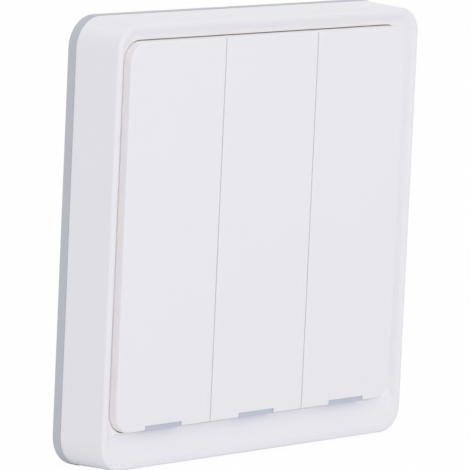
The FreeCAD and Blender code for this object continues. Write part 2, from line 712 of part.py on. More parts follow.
def make_key(index, name):
    """One rocker key, with its ears and pins, its catch hooks, the boss that
    meets the tact switch and the notch of the light window."""
    body = new_body("key_" + name, key_centre(index))
    half = KEY_WIDTH + " / 2"
    outline = front_sketch(body, "key_outline_" + name, KEY_BACK)
    draw_box(outline, "-" + half, "-" + KEY_DROP, half, KEY_RISE)
    pad(body, "key_block_" + name, outline, "key_skirt + key_plate")
    side = measure(half) - NEAR
    free_left = name == "left"
    free_right = name == "right"

    def beside_frame(box):
        return (box.XMax < -side and free_left) or (box.XMin > side and free_right)

    def beside_key(box):
        return (box.XMax < -side and not free_left) or (box.XMin > side and not free_right)

    if free_left or free_right:
        corners = edges_across(body.Tip, beside_frame)
        round_edges(body, "key_corners_" + name, corners, "key_corner")
    outer = edges_at(body.Tip, KEY_FACE, lambda box: not beside_key(box))
    round_edges(body, "key_edge_" + name, outer, "key_edge_round")
    between = edges_at(body.Tip, KEY_FACE, beside_key)
    round_edges(body, "key_side_edge_" + name, between, "key_side_round")

    inner_left = "key_corner - key_wall" if free_left else "key_inner_corner"
    inner_right = "key_corner - key_wall" if free_right else "key_inner_corner"
    hollow = front_sketch(body, "key_hollow_outline_" + name, KEY_BACK)
    draw_rounded(hollow, "key_wall - " + half, "key_wall - " + KEY_DROP, half + " - key_wall",
                 KEY_RISE + " - key_wall", [inner_right, inner_right, inner_left, inner_left])
    pocket(body, "key_hollow_" + name, hollow, "key_skirt")

    notch = front_sketch(body, "key_notch_outline_" + name, KEY_BACK)
    below = "-" + KEY_DROP + " - key_wall"
    draw_box(notch, "-notch_width / 2", below, "notch_width / 2", "notch_height - " + KEY_DROP)
    pocket(body, "key_notch_" + name, notch, "key_skirt + key_plate")
    seat = front_sketch(body, "key_seat_outline_" + name, KEY_BACK)
    draw_box(seat, "-notch_width / 2", below, "notch_width / 2", "guide_seat - " + KEY_DROP)
    pocket(body, "key_guide_seat_" + name, seat, "key_skirt")

    ribs = front_sketch(body, "key_rib_outline_" + name, KEY_UNDER + " - key_rib_height")
    for across in ("-" + RIB_SPREAD, RIB_SPREAD):
        draw_box(ribs, across + " - key_rib_width / 2", "key_wall / 2 - " + KEY_DROP,
                 across + " + key_rib_width / 2", KEY_RISE + " - key_wall / 2")
    pad(body, "key_ribs_" + name, ribs, "key_rib_height + key_plate / 2")

    boss_tip = "(" + PLUNGER_TOP + " + key_boss_gap)"
    boss = front_sketch(body, "key_boss_outline_" + name, boss_tip)
    draw_circle(boss, "0", TACT_RISE, "key_boss_radius")
    pad(body, "key_boss_" + name, boss, KEY_UNDER + " + key_plate / 2 - " + boss_tip)

    for side, start, pin_start in (
            ("left", "-" + EAR_SPREAD, "-" + EAR_SPREAD + " - pin_length"),
            ("right", EAR_SPREAD + " - ear_thickness", EAR_SPREAD + " - ear_thickness / 2")):
        label = name + "_" + side
        stem = side_sketch(body, "ear_stem_section_" + label, start)
        draw_box(stem, minus(KEY_UNDER + " + key_plate / 2"), PIVOT_RISE + " - ear_radius", minus(PIVOT),
                 PIVOT_RISE + " + ear_radius")
        pad(body, "ear_stem_" + label, stem, "ear_thickness")
        ear = side_sketch(body, "ear_section_" + label, start)
        draw_circle(ear, minus(PIVOT), PIVOT_RISE, "ear_radius")
        pad(body, "ear_" + label, ear, "ear_thickness")
        pin = side_sketch(body, "pin_section_" + label, pin_start)
        draw_circle(pin, minus(PIVOT), PIVOT_RISE, "pin_radius")
        pad(body, "pin_" + label, pin, "pin_length + ear_thickness / 2")

    arm_top = "-" + HOOK_DROP
    arm_bottom = arm_top + " - key_hook_thickness"
    ledge = "(" + DECK_REAR + " - key_hook_gap)"
    tip = "(" + ledge + " - key_hook_tip)"
    for side, start in (("left", "-" + HOOK_SPREAD + " - key_hook_width / 2"),
                        ("right", HOOK_SPREAD + " - key_hook_width / 2")):
        section = side_sketch(body, "key_hook_section_" + name + "_" + side, start)
        draw_polygon(section, [
            (minus(KEY_UNDER + " + key_plate / 2"), arm_bottom),
            (minus(tip), arm_bottom),
            (minus(tip), arm_top),
            (minus(ledge), arm_top + " + key_hook_barb"),
            (minus(ledge), arm_top),
            (minus(KEY_UNDER + " + key_plate / 2"), arm_top),
        ])
        pad(body, "key_hook_" + name + "_" + side, section, "key_hook_width")
    return body


def make_light_guide(index, name):
    """The clear bar under a key that brings the lamp's light to the notch."""
    body = new_body("light_guide_" + name, key_centre(index))
    front = KEY_FACE + " - guide_recess"
    bar_front = "(" + KEY_UNDER + " - guide_gap)"
    bar_rear = "(" + bar_front + " - guide_bar)"
    stem_top = "notch_height - guide_gap - " + KEY_DROP
    section = side_sketch(body, "guide_section_" + name, "guide_gap - notch_width / 2")
    draw_polygon(section, [
        (minus(front), minus(KEY_DROP)),
        (minus(bar_rear), minus(KEY_DROP)),
        (minus(bar_rear), minus(GUIDE_DROP)),
        (minus(bar_front), minus(GUIDE_DROP + " + guide_bar")),
        (minus(bar_front), stem_top),
        (minus(front), stem_top),
    ])
    pad(body, "guide_bar_" + name, section, "notch_width - 2 * guide_gap")
    return body


def make_circuit_board():
    """The board, screwed to the rear of the carrier's deck."""
    body = new_body("circuit_board")
    outline = front_sketch(body, "board_outline", BOARD_REAR)
    draw_rounded(outline, minus(BOARD_HALF), minus(BOARD_DROP), BOARD_HALF, BOARD_RISE,
                 ["board_corner"] * 4)
    for across, rise in SCREW_PLACES:
        draw_circle(outline, across, rise, "screw_hole_radius")
    pad(body, "board", outline, "board_thickness")
    return body


def make_tact_switch(index, name):
    """The housing of a tact switch, with its four legs."""
    body = new_body("tact_switch_" + name, key_centre(index), TACT_RISE)
    half = "tact_side / 2"
    outline = front_sketch(body, "tact_outline_" + name, BOARD_FRONT)
    draw_box(outline, "-" + half, "-" + half, half, half)
    block = pad(body, "tact_block_" + name, outline, "tact_height")
    bevel_edges(body, "tact_edge_" + name, edges_at(block, BOARD_FRONT + " + tact_height"), "tact_bevel")
    well = front_sketch(body, "tact_well_outline_" + name, BOARD_FRONT + " + tact_floor")
    draw_circle(well, "0", "0", "plunger_radius + plunger_clearance")
    pocket(body, "tact_well_" + name, well, "tact_height")
    legs = front_sketch(body, "tact_leg_outline_" + name, BOARD_FRONT)
    inner = half + " - tact_leg_width"
    outer = half + " + tact_leg_reach"
    for sign in ("-", ""):
        middle = sign + "tact_leg_spacing / 2"
        for low, high in ((inner, outer), (minus(outer), minus(inner))):
            draw_box(legs, low, middle + " - tact_leg_width / 2", high, middle + " + tact_leg_width / 2")
    pad(body, "tact_legs_" + name, legs, "tact_leg_thickness")
    return body


def make_plunger(index, name):
    """The moving button of a tact switch."""
    body = new_body("tact_plunger_" + name, key_centre(index), TACT_RISE)
    foot = "(" + PLUNGER_TOP + " - plunger_rise - plunger_root)"
    outline = front_sketch(body, "plunger_outline_" + name, foot)
    draw_circle(outline, "0", "0", "plunger_radius")
    rod = pad(body, "plunger_rod_" + name, outline, "plunger_rise + plunger_root")
    bevel_edges(body, "plunger_edge_" + name, edges_at(rod, PLUNGER_TOP), "plunger_bevel")
    return body


def make_lamp(index, name):
    """A small lamp on the board, with a raised lens on its case."""
    body = new_body("indicator_led_" + name, key_centre(index), minus(LAMP_DROP))
    case = front_sketch(body, "lamp_outline_" + name, BOARD_FRONT)
    draw_box(case, "-lamp_width / 2", "-lamp_depth / 2", "lamp_width / 2", "lamp_depth / 2")
    pad(body, "lamp_case_" + name, case, "lamp_height")
    lens = front_sketch(body, "lamp_lens_outline_" + name, BOARD_FRONT + " + lamp_height")
    draw_circle(lens, "0", "0", "lamp_depth / 2 - lamp_rim")
    pad(body, "lamp_lens_" + name, lens, "lamp_dome")
    return body


def make_coin_cell():
    """A button cell: the wide case to the rear, the stepped cap on the board side."""
    body = new_body("coin_cell", CELL_ACROSS, "cell_rise")
    rear = CELL_REAR
    step = "(" + CELL_REAR + " + cell_thickness - cell_step_height)"
    cap = "(" + CELL_REAR + " + cell_thickness)"
    section = side_sketch(body, "cell_section", "0")
    draw_polygon(section, [
        (minus(rear), "0"),
        (minus(rear), "cell_radius - cell_bevel"),
        (minus(rear + " + cell_bevel"), "cell_radius"),
        (minus(step), "cell_radius"),
        (minus(step), "cell_radius - cell_step"),
        (minus(cap), "cell_radius - cell_step"),
        (minus(cap), "0"),
    ])
    turned = body.newObject("PartDesign::Revolution", "cell_turned")
    turned.Profile = section
    turned.ReferenceAxis = (section, ["H_Axis"])
    turned.Angle = 360
    doc.recompute()
    return body


def make_battery_holder():
    """The ring that keeps the cell on the board, open where a thumb pushes it out."""
    body = new_body("battery_holder", CELL_ACROSS, "cell_rise")
    inner = "(cell_radius + holder_gap)"
    outer = "(" + inner + " + holder_wall)"
    floor = front_sketch(body, "holder_floor_outline", BOARD_REAR + " - holder_floor")
    draw_circle(floor, "0", "0", outer)
    draw_circle(floor, "0", "0", "contact_radius + contact_gap")
    pad(body, "holder_floor_disc", floor, "holder_floor")
    ring = front_sketch(body, "holder_ring_outline", BOARD_REAR + " - holder_floor - holder_height")
    draw_circle(ring, "0", "0", outer)
    draw_circle(ring, "0", "0", inner)
    pad(body, "holder_ring", ring, "holder_height + holder_floor / 2")
    notch = front_sketch(body, "holder_notch_outline", BOARD_REAR + " - holder_floor - holder_height")
    draw_box(notch, "-holder_notch / 2", minus(outer + " + holder_wall"),
             "holder_notch / 2", "-cell_radius / 2")
    pocket(body, "holder_notch_cut", notch, "holder_height")
    return body


def make_cell_clip():
    """The bent strip that bears on the rear of the cell and stands on the board."""
    body = new_body("cell_clip", CELL_ACROSS, "cell_rise")
    inner = "(cell_radius + holder_gap + holder_wall + clip_gap)"
    outer = "(" + inner + " + clip_thickness)"
    strap = front_sketch(body, "clip_strap_outline", CELL_REAR + " - clip_thickness")
    draw_box(strap, minus(outer), "-clip_width / 2", outer, "clip_width / 2")
    pad(body, "clip_strap", strap, "clip_thickness")
    legs = front_sketch(body, "clip_leg_outline", CELL_REAR + " - clip_thickness")
    for low, high in ((inner, outer), (minus(outer), minus(inner))):
        draw_box(legs, low, "-clip_width / 2", high, "clip_width / 2")
    pad(body, "clip_legs", legs, BOARD_REAR + " - " + CELL_REAR + " + clip_thickness")
    return body


def make_cell_contact():
    """The plated disc under the cell, slit into springing fingers."""
    body = new_body("cell_contact", CELL_ACROSS, "cell_rise")
    disc = front_sketch(body, "contact_outline", BOARD_REAR + " - holder_floor")
    draw_circle(disc, "0", "0", "contact_radius")
    pad(body, "contact_disc", disc, "holder_floor")
    slits = front_sketch(body, "contact_slit_outline", BOARD_REAR + " - holder_floor")
    for centre in ("-contact_radius / 2", "contact_radius / 2"):
        draw_box(slits, "-contact_radius / 2", centre + " - contact_slit / 2", "contact_radius / 2",
                 centre + " + contact_slit / 2")
    pocket(body, "contact_slits", slits, "holder_floor")
    return body


def make_controller_chip():
    """The radio controller: a moulded package on gull-wing legs."""
    body = new_body("controller_chip", "-chip_across", "chip_rise")
    top = BOARD_REAR + " - chip_stand - chip_height"
    case = front_sketch(body, "chip_outline", top)
    draw_box(case, "-chip_length / 2", "-chip_depth / 2", "chip_length / 2", "chip_depth / 2")
    pad(body, "chip_case", case, "chip_height")
    knees = front_sketch(body, "chip_knee_outline", BOARD_REAR + " - chip_stand - chip_height / 2")
    feet = front_sketch(body, "chip_foot_outline", BOARD_REAR + " - chip_leg_thickness")
    knee = "(chip_depth / 2 + chip_leg_reach / 2)"
    toe = "chip_depth / 2 + chip_leg_reach"
    for leg in range(CHIP_LEGS_A_SIDE):
        middle = "%s * chip_leg_pitch" % (leg - (CHIP_LEGS_A_SIDE - 1) / 2)
        left = middle + " - chip_leg_width / 2"
        right = middle + " + chip_leg_width / 2"
        for way in (str, minus):
            sides = sorted([way("chip_depth / 2 - chip_leg_thickness"), way(knee)], key=measure)
            draw_box(knees, left, sides[0], right, sides[1])
            sides = sorted([way(knee + " - chip_leg_thickness"), way(toe)], key=measure)
            draw_box(feet, left, sides[0], right, sides[1])
    pad(body, "chip_knees", knees, "chip_leg_thickness")
    pad(body, "chip_feet", feet, "chip_leg_thickness")
    shins = front_sketch(body, "chip_shin_outline", BOARD_REAR + " - chip_stand - chip_height / 2")
    for leg in range(CHIP_LEGS_A_SIDE):
        middle = "%s * chip_leg_pitch" % (leg - (CHIP_LEGS_A_SIDE - 1) / 2)
        for way in (str, minus):
            sides = sorted([way(knee + " - chip_leg_thickness"), way(knee)], key=measure)
            draw_box(shins, middle + " - chip_leg_width / 2", sides[0],
                     middle + " + chip_leg_width / 2", sides[1])
    pad(body, "chip_shins", shins, "chip_stand + chip_height / 2")
    return body


def make_crystal():
    """The quartz can beside the controller."""
    body = new_body("quartz_crystal", "-crystal_across", "-crystal_drop")
    base = front_sketch(body, "crystal_base_outline", BOARD_REAR + " - crystal_base")
    draw_box(base, "-crystal_length / 2", "-crystal_depth / 2",
             "crystal_length / 2", "crystal_depth / 2")
    pad(body, "crystal_base", base, "crystal_base")
    lid = front_sketch(body, "crystal_lid_outline", BOARD_REAR + " - crystal_height")
    draw_centred(lid, "crystal_length / 2 - crystal_step", "crystal_depth / 2 - crystal_step",
                 "crystal_corner")
    pad(body, "crystal_lid", lid, "crystal_height - crystal_base")
    return body


def make_antenna_coil():
    """The wound aerial, a helix of round wire that lies along the board."""
    helix = doc.addObject("Part::Helix", "coil_path")
    helix.setExpression("Pitch", bound("coil_pitch"))
    helix.setExpression("Height", bound("coil_length"))
    helix.setExpression("Radius", bound("coil_radius"))
    wire = doc.addObject("Part::RegularPolygon", "coil_wire_section")
    wire.Polygon = COIL_WIRE_SIDES
    wire.setExpression("Circumradius", bound("coil_wire"))
    wire.setExpression("Placement.Base.x", bound("coil_radius"))
    wire.Placement.Rotation = FreeCAD.Rotation(FreeCAD.Vector(1, 0, 0), 90)
    coil = doc.addObject("Part::Sweep", "antenna_coil")
    coil.Label = "antenna_coil"
    coil.Sections = [wire]
    coil.Spine = (helix, [])
    coil.Solid = True
    coil.Frenet = True
    coil.Placement.Rotation = FreeCAD.Rotation(FreeCAD.Vector(0, 1, 0), 90)
    coil.setExpression("Placement.Base.x", bound("coil_inset - " + SCREW_ACROSS))
    coil.setExpression("Placement.Base.y", bound(minus(BOARD_REAR + " - coil_radius - coil_wire")))
    coil.setExpression("Placement.Base.z", bound(BOARD_RISE + " - coil_head"))
    return coil


def cylinder(name, radius, height, x, y, z):
    """A round bar that runs from a height above the wall towards the front."""
    bar = doc.addObject("Part::Cylinder", name)
    bar.setExpression("Radius", bound(radius))
    bar.setExpression("Height", bound(height))
    bar.Placement.Rotation = FreeCAD.Rotation(FreeCAD.Vector(1, 0, 0), 90)
    bar.setExpression("Placement.Base.x", bound(x))
    bar.setExpression("Placement.Base.y", bound(minus(y)))
    bar.setExpression("Placement.Base.z", bound(z))
    return bar


def box(name, left, right, rear, front, bottom, top):
    """A block between two places across, two heights above the wall and two levels."""
    block = doc.addObject("Part::Box", name)
    block.setExpression("Length", bound("(" + right + ") - (" + left + ")"))
    block.setExpression("Width", bound("(" + front + ") - (" + rear + ")"))
    block.setExpression("Height", bound("(" + top + ") - (" + bottom + ")"))
    block.setExpression("Placement.Base.x", bound(left))
    block.setExpression("Placement.Base.y", bound(minus(front)))
    block.setExpression("Placement.Base.z", bound(bottom))
    return block


def make_board_screws():
    """Four cross-headed screws that hold the board to the carrier's bosses."""
    head_rear = "(" + BOARD_REAR + " - screw_head_height)"
    screws = []
    for number, (across, rise) in enumerate(SCREW_PLACES):
        head = cylinder("screw_head_%d" % number, "screw_head_radius", "screw_head_height",
                        across, head_rear, rise)
        shank = cylinder("screw_shank_%d" % number, "screw_radius", "screw_length",
                         across, BOARD_REAR, rise)
        blank = doc.addObject("Part::Fuse", "screw_blank_%d" % number)
        blank.Base = head
        blank.Tool = shank
        reach = "screw_cross_reach"
        blades = doc.addObject("Part::Fuse", "screw_cross_%d" % number)
        floor = head_rear + " + screw_cross_depth"
        mouth = head_rear + " - screw_cross_depth"
        half = "screw_cross_width / 2"
        blades.Base = box("screw_blade_%d" % number, across + " - " + reach, across + " + " + reach,
                          mouth, floor, rise + " - " + half, rise + " + " + half)
        blades.Tool = box("screw_cross_blade_%d" % number, across + " - " + half, across + " + " + half,
                          mouth, floor, rise + " - " + reach, rise + " + " + reach)
        screw = doc.addObject("Part::Cut", "screw_%d" % number)
        screw.Base = blank
        screw.Tool = blades
        screws.append(screw)
    group = doc.addObject("Part::Compound", "board_screws")
    group.Label = "board_screws"
    group.Links = screws
    return group


def make_passives():
    """Two rows of small chip resistors and capacitors behind the board."""
    chips = []
    for row in range(PASSIVE_ROWS):
        for place in range(PASSIVES_IN_ROW):
            left = "%d * passive_pitch - passive_across" % place
            bottom = "-passive_drop - %d * passive_row_pitch" % row
            chips.append(box("passive_%d_%d" % (row, place), left, left + " + passive_length",
                             BOARD_REAR + " - passive_height", BOARD_REAR,
                             bottom, bottom + " + passive_width"))
    group = doc.addObject("Part::Compound", "chip_passives")
    group.Label = "chip_passives"
    group.Links = chips
    return group


pieces = [make_mounting_plate(), make_frame(), make_key_carrier()]
for number, key_name in enumerate(KEYS):
    pieces.append(make_key(number, key_name))
    pieces.append(make_light_guide(number, key_name))
    pieces.append(make_tact_switch(number, key_name))
    pieces.append(make_plunger(number, key_name))
    pieces.append(make_lamp(number, key_name))
pieces += [make_circuit_board(), make_coin_cell(), make_battery_holder(), make_cell_clip()]
pieces += [make_cell_contact(), make_controller_chip(), make_crystal(), make_antenna_coil()]
pieces += [make_board_screws(), make_passives()]
doc.recompute()

for item in doc.Objects:
    if "Invalid" in item.State or "Error" in item.State:
        raise RuntimeError("%s is %s" % (item.Name, item.State))
for piece in pieces:
    if piece.Shape.isNull() or not piece.Shape.isValid():
        raise RuntimeError(piece.Label + " has no valid shape")

os.makedirs("parts", exist_ok=True)
for piece in pieces:
    piece.Shape.exportStep("parts/" + piece.Label + ".step")
    print("%-24s %10.2f mm3  %d solids" % (piece.Label, piece.Shape.Volume, len(piece.Shape.Solids)))
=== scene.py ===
import math

import bpy
from mathutils import Euler, Matrix, Vector


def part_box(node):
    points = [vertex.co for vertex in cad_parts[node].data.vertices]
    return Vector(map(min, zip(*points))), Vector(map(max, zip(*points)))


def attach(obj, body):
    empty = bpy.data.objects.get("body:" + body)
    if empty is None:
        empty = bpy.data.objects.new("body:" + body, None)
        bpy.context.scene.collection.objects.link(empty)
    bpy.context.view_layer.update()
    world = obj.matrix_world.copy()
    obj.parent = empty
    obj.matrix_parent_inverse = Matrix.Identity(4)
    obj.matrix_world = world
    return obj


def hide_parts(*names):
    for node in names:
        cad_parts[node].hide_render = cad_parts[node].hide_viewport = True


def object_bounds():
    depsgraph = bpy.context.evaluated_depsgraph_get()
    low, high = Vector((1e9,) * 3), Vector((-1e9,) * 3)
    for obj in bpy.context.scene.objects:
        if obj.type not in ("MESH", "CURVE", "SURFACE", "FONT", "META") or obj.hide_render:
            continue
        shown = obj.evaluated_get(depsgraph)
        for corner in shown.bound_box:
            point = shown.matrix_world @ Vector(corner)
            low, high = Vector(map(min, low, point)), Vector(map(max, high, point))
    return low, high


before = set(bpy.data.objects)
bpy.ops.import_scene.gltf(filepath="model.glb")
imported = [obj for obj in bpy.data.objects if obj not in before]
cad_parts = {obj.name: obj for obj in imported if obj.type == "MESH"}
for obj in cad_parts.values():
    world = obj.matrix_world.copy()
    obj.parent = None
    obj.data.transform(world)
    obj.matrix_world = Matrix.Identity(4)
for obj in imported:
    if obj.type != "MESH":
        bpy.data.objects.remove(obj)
cad_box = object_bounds()

# Wall plate: the blue-grey base that is screwed or stuck to the wall. It is
# an injection moulding in ABS with a fine matt grain, and the bezel is
# clipped over it by the carrier's windows and the plate's four hooks.
PLATE_LIGHT = (0.562, 0.583, 0.642, 1)
PLATE_DARK = (0.540, 0.560, 0.617, 1)
PLATE_ROUGHNESS = (0.50, 0.60)
PLATE_GRAIN = (3200.0, 0.00003)
COMMON_GRAIN_SCALE = 3000.0
CLOUD_SCALE = 60.0
GRAIN_DETAIL = 3.0
CLOUD_DETAIL = 2.0


def moulded_surface_group():
    """Shader group for moulded plastic: slow clouds in its colour and a fine grain."""
    group = bpy.data.node_groups.new("moulded_surface", "ShaderNodeTree")
    for name, default in (("Grain Scale", COMMON_GRAIN_SCALE), ("Cloud Scale", CLOUD_SCALE)):
        socket = group.interface.new_socket(name, in_out="INPUT", socket_type="NodeSocketFloat")
        socket.default_value = default
    for name in ("Cloud", "Grain"):
        group.interface.new_socket(name, in_out="OUTPUT", socket_type="NodeSocketFloat")
    nodes, links = group.nodes, group.links
    inputs = nodes.new("NodeGroupInput")
    outputs = nodes.new("NodeGroupOutput")
    place = nodes.new("ShaderNodeTexCoord")
    for name, detail in (("Grain", GRAIN_DETAIL), ("Cloud", CLOUD_DETAIL)):
        noise = nodes.new("ShaderNodeTexNoise")
        noise.inputs["Detail"].default_value = detail
        links.new(place.outputs["Object"], noise.inputs["Vector"])
        links.new(inputs.outputs[name + " Scale"], noise.inputs["Scale"])
        links.new(noise.outputs["Fac"], outputs.inputs[name])
    return group


MOULDED_SURFACE = moulded_surface_group()


def blank_material(name, specular=0.5):
    """A material with its shader, ready for its pattern."""
    material = bpy.data.materials.new(name)
    material.use_nodes = True
    nodes, links = material.node_tree.nodes, material.node_tree.links
    shader = nodes["Principled BSDF"]
    shader.inputs["Specular IOR Level"].default_value = specular
    return material, nodes, links, shader


def tinted(nodes, links, mask, dark, light):
    """Mixes two colours by a mask."""
    tint = nodes.new("ShaderNodeMix")
    tint.data_type = "RGBA"
    for socket, colour in (("A", dark), ("B", light)):
        if isinstance(colour, tuple):
            tint.inputs[socket].default_value = colour
        else:
            links.new(colour, tint.inputs[socket])
    links.new(mask, tint.inputs["Factor"])
    return tint.outputs["Result"]


def spread(nodes, links, value, low, high):
    """Maps a value from 0 to 1 on a range."""
    scaled = nodes.new("ShaderNodeMapRange")
    scaled.inputs["To Min"].default_value = low
    scaled.inputs["To Max"].default_value = high
    links.new(value, scaled.inputs["Value"])
    return scaled.outputs["Result"]


def roughened(nodes, links, shader, height, depth, strength=0.25):
    """Gives the shader a fine relief."""
    bump = nodes.new("ShaderNodeBump")
    bump.inputs["Strength"].default_value = strength
    bump.inputs["Distance"].default_value = depth
    links.new(height, bump.inputs["Height"])
    links.new(bump.outputs["Normal"], shader.inputs["Normal"])


def math_node(nodes, links, operation, *values):
    """One step of arithmetic on sockets and plain numbers."""
    step = nodes.new("ShaderNodeMath")
    step.operation = operation
    for index, value in enumerate(values):
        if isinstance(value, (int, float)):
            step.inputs[index].default_value = value
        else:
            links.new(value, step.inputs[index])
    return step.outputs["Value"]


def object_axes(nodes, links):
    """The three object coordinates of a point, by axis name."""
    place = nodes.new("ShaderNodeTexCoord")
    axes = nodes.new("ShaderNodeSeparateXYZ")
    links.new(place.outputs["Object"], axes.inputs["Vector"])
    return {name: axes.outputs[name] for name in "XYZ"}


def moulded_plastic(name, light, dark, roughness, grain, deep=()):
    """Plastic whose colour and gloss drift slightly, under a grain given by its scale and
    depth; deep lists further colours, each with the mask of where it shows."""
    grain_scale, grain_depth = grain
    material, nodes, links, shader = blank_material(name)
    surface = nodes.new("ShaderNodeGroup")
    surface.node_tree = MOULDED_SURFACE
    surface.inputs["Grain Scale"].default_value = grain_scale
    colour = tinted(nodes, links, surface.outputs["Cloud"], dark, light)
    for deep_colour, deep_mask in deep:
        mask = deep_mask(nodes, links, object_axes(nodes, links))
        colour = tinted(nodes, links, mask, colour, deep_colour)
    sheen = spread(nodes, links, surface.outputs["Grain"], *roughness)
    links.new(colour, shader.inputs["Base Color"])
    links.new(sheen, shader.inputs["Roughness"])
    roughened(nodes, links, shader, surface.outputs["Grain"], grain_depth)
    return material


def dress(node, material):
    """Gives a CAD node its finish."""
    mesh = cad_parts[node].data
    mesh.materials.clear()
    mesh.materials.append(material)


dress("mounting_plate", moulded_plastic("grey_plate_plastic", PLATE_LIGHT, PLATE_DARK,
                                        PLATE_ROUGHNESS, PLATE_GRAIN))

# Bezel: one white ABS moulding with drafted walls, a soft crest and a dished
# border round the keys, polished to a satin, that snaps over the carrier.
# Light is painted on the foot of its dish in the gap: a paler colour that stands in for light
# reaching there.
BEZEL_LIGHT = (0.897, 0.890, 0.938, 1)
BEZEL_DARK = (0.883, 0.876, 0.924, 1)
BEZEL_ROUGHNESS = (0.34, 0.42)
SATIN_GRAIN = (3600.0, 0.00002)
# Painted light: the paler colour of the dish's foot in the gap.
LIP_PAINTED_LIGHT = (0.978, 0.962, 0.968, 1)
FACE_LEVEL = cad_box[0][1]
LIP_DEPTHS = (0.0008, 0.0019)
LIP_HALF_WIDTH = 0.0400
LIP_HALF_HEIGHT = 0.0378
LIP_MIDDLE = 0.0022


def beyond(nodes, links, coordinate, centre, half):
    """A mask of the points that lie further from a centre than half."""
    offset = math_node(nodes, links, "SUBTRACT", coordinate, centre)
    distance = math_node(nodes, links, "ABSOLUTE", offset)
    return math_node(nodes, links, "GREATER_THAN", distance, half)


def deeper(nodes, links, axes, start, end):
    """A mask that grows with the depth below the keys' faces."""
    depth = nodes.new("ShaderNodeMapRange")
    depth.inputs["From Min"].default_value = FACE_LEVEL + start
    depth.inputs["From Max"].default_value = FACE_LEVEL + end
    links.new(axes["Y"], depth.inputs["Value"])
    return depth.outputs["Result"]


def painted_lip_light_mask(nodes, links, axes):
    """The foot of the dish, where it meets the keys' opening and light is painted in."""
    outside = math_node(nodes, links, "MAXIMUM",
                        beyond(nodes, links, axes["X"], 0.0, LIP_HALF_WIDTH),
                        beyond(nodes, links, axes["Z"], LIP_MIDDLE, LIP_HALF_HEIGHT))
    within = math_node(nodes, links, "SUBTRACT", 1.0, outside)
    return math_node(nodes, links, "MULTIPLY", within, deeper(nodes, links, axes, *LIP_DEPTHS))


dress("frame", moulded_plastic("white_bezel_plastic", BEZEL_LIGHT, BEZEL_DARK, BEZEL_ROUGHNESS,
                               SATIN_GRAIN, deep=((LIP_PAINTED_LIGHT, painted_lip_light_mask),)))

# Key carrier: the chassis behind the keys, moulded in plain white ABS with
# bearing lugs, bosses for the board's screws and windows for the hooks.
CARRIER_LIGHT = (0.93, 0.925, 0.925, 1)
CARRIER_DARK = (0.91, 0.905, 0.905, 1)
CARRIER_ROUGHNESS = (0.46, 0.56)
CARRIER_GRAIN = (2600.0, 0.00003)
dress("key_carrier", moulded_plastic("carrier_plastic", CARRIER_LIGHT, CARRIER_DARK,
                                     CARRIER_ROUGHNESS, CARRIER_GRAIN))

# Keys: three long white ABS mouldings that tilt on pins near their upper
# edge. They share the satin face of the bezel and have a notch at the foot.
# Their side walls carry a painted warm light, deep in the gaps a paler painted
# light, and along their lower edge a painted shade.
KEYS = ("left", "middle", "right")
KEY_LIGHT = (0.900, 0.891, 0.937, 1)
KEY_DARK = (0.886, 0.877, 0.923, 1)
KEY_ROUGHNESS = (0.38, 0.46)
# Painted warm light on the side walls below the rounded edge.
KEY_SIDE_PAINTED_WARM_LIGHT = (0.908, 0.884, 0.876, 1)
PAINTED_SIDE_LIGHT_DEPTHS = (0.0002, 0.0007)
# Painted light deep in the gaps and on the keys' upper wall.
KEY_GAP_PAINTED_LIGHT = (0.992, 0.980, 0.985, 1)
PAINTED_GAP_LIGHT_DEPTHS = (0.0012, 0.0019)
# Painted shade along the keys' rounded lower edge.
KEY_FOOT_PAINTED_SHADE = (0.660, 0.650, 0.675, 1)
KEY_UPPER_EDGE = 0.0004
KEY_LOWER_EDGE = 0.00022
key_low, key_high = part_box("key_middle")


def painted_side_light_mask(nodes, links, axes):
    """The keys' side walls below their rounded edge, where a warm light is painted."""
    return deeper(nodes, links, axes, *PAINTED_SIDE_LIGHT_DEPTHS)


def painted_gap_light_mask(nodes, links, axes):
    """Where light is painted: deep on the keys' side walls, and all of their upper wall."""
    upper = math_node(nodes, links, "GREATER_THAN", axes["Z"], key_high.z - KEY_UPPER_EDGE)
    upper_wall = math_node(nodes, links, "MULTIPLY", upper, painted_side_light_mask(nodes, links, axes))
    return math_node(nodes, links, "MAXIMUM", upper_wall,
                     deeper(nodes, links, axes, *PAINTED_GAP_LIGHT_DEPTHS))


def painted_foot_shade_mask(nodes, links, axes):
    """The rounded lower edge, where a shade is painted."""
    edge = math_node(nodes, links, "SUBTRACT", 1.0, painted_side_light_mask(nodes, links, axes))
    lower = math_node(nodes, links, "LESS_THAN", axes["Z"], key_low.z + KEY_LOWER_EDGE)
    return math_node(nodes, links, "MULTIPLY", lower, edge)


key_plastic = moulded_plastic("white_key_plastic", KEY_LIGHT, KEY_DARK, KEY_ROUGHNESS,
                              SATIN_GRAIN, deep=((KEY_SIDE_PAINTED_WARM_LIGHT, painted_side_light_mask),
                                                 (KEY_GAP_PAINTED_LIGHT, painted_gap_light_mask),
                                                 (KEY_FOOT_PAINTED_SHADE, painted_foot_shade_mask)))
for key in KEYS:
    dress("key_" + key, key_plastic)

# Light guides: bars of smoky clear acrylic, pressed in the keys' notches.
# They bring the lamp's light forwards, and look like small grey windows when
# it is off.
GUIDE_LIGHT = (0.590, 0.622, 0.712, 1)
GUIDE_DARK = (0.565, 0.598, 0.688, 1)
GUIDE_ROUGHNESS = (0.2, 0.3)
GUIDE_GRAIN = (3000.0, 0.00001)
guide_plastic = moulded_plastic("smoky_guide_plastic", GUIDE_LIGHT, GUIDE_DARK,
                                GUIDE_ROUGHNESS, GUIDE_GRAIN)
for key in KEYS:
    dress("light_guide_" + key, guide_plastic)

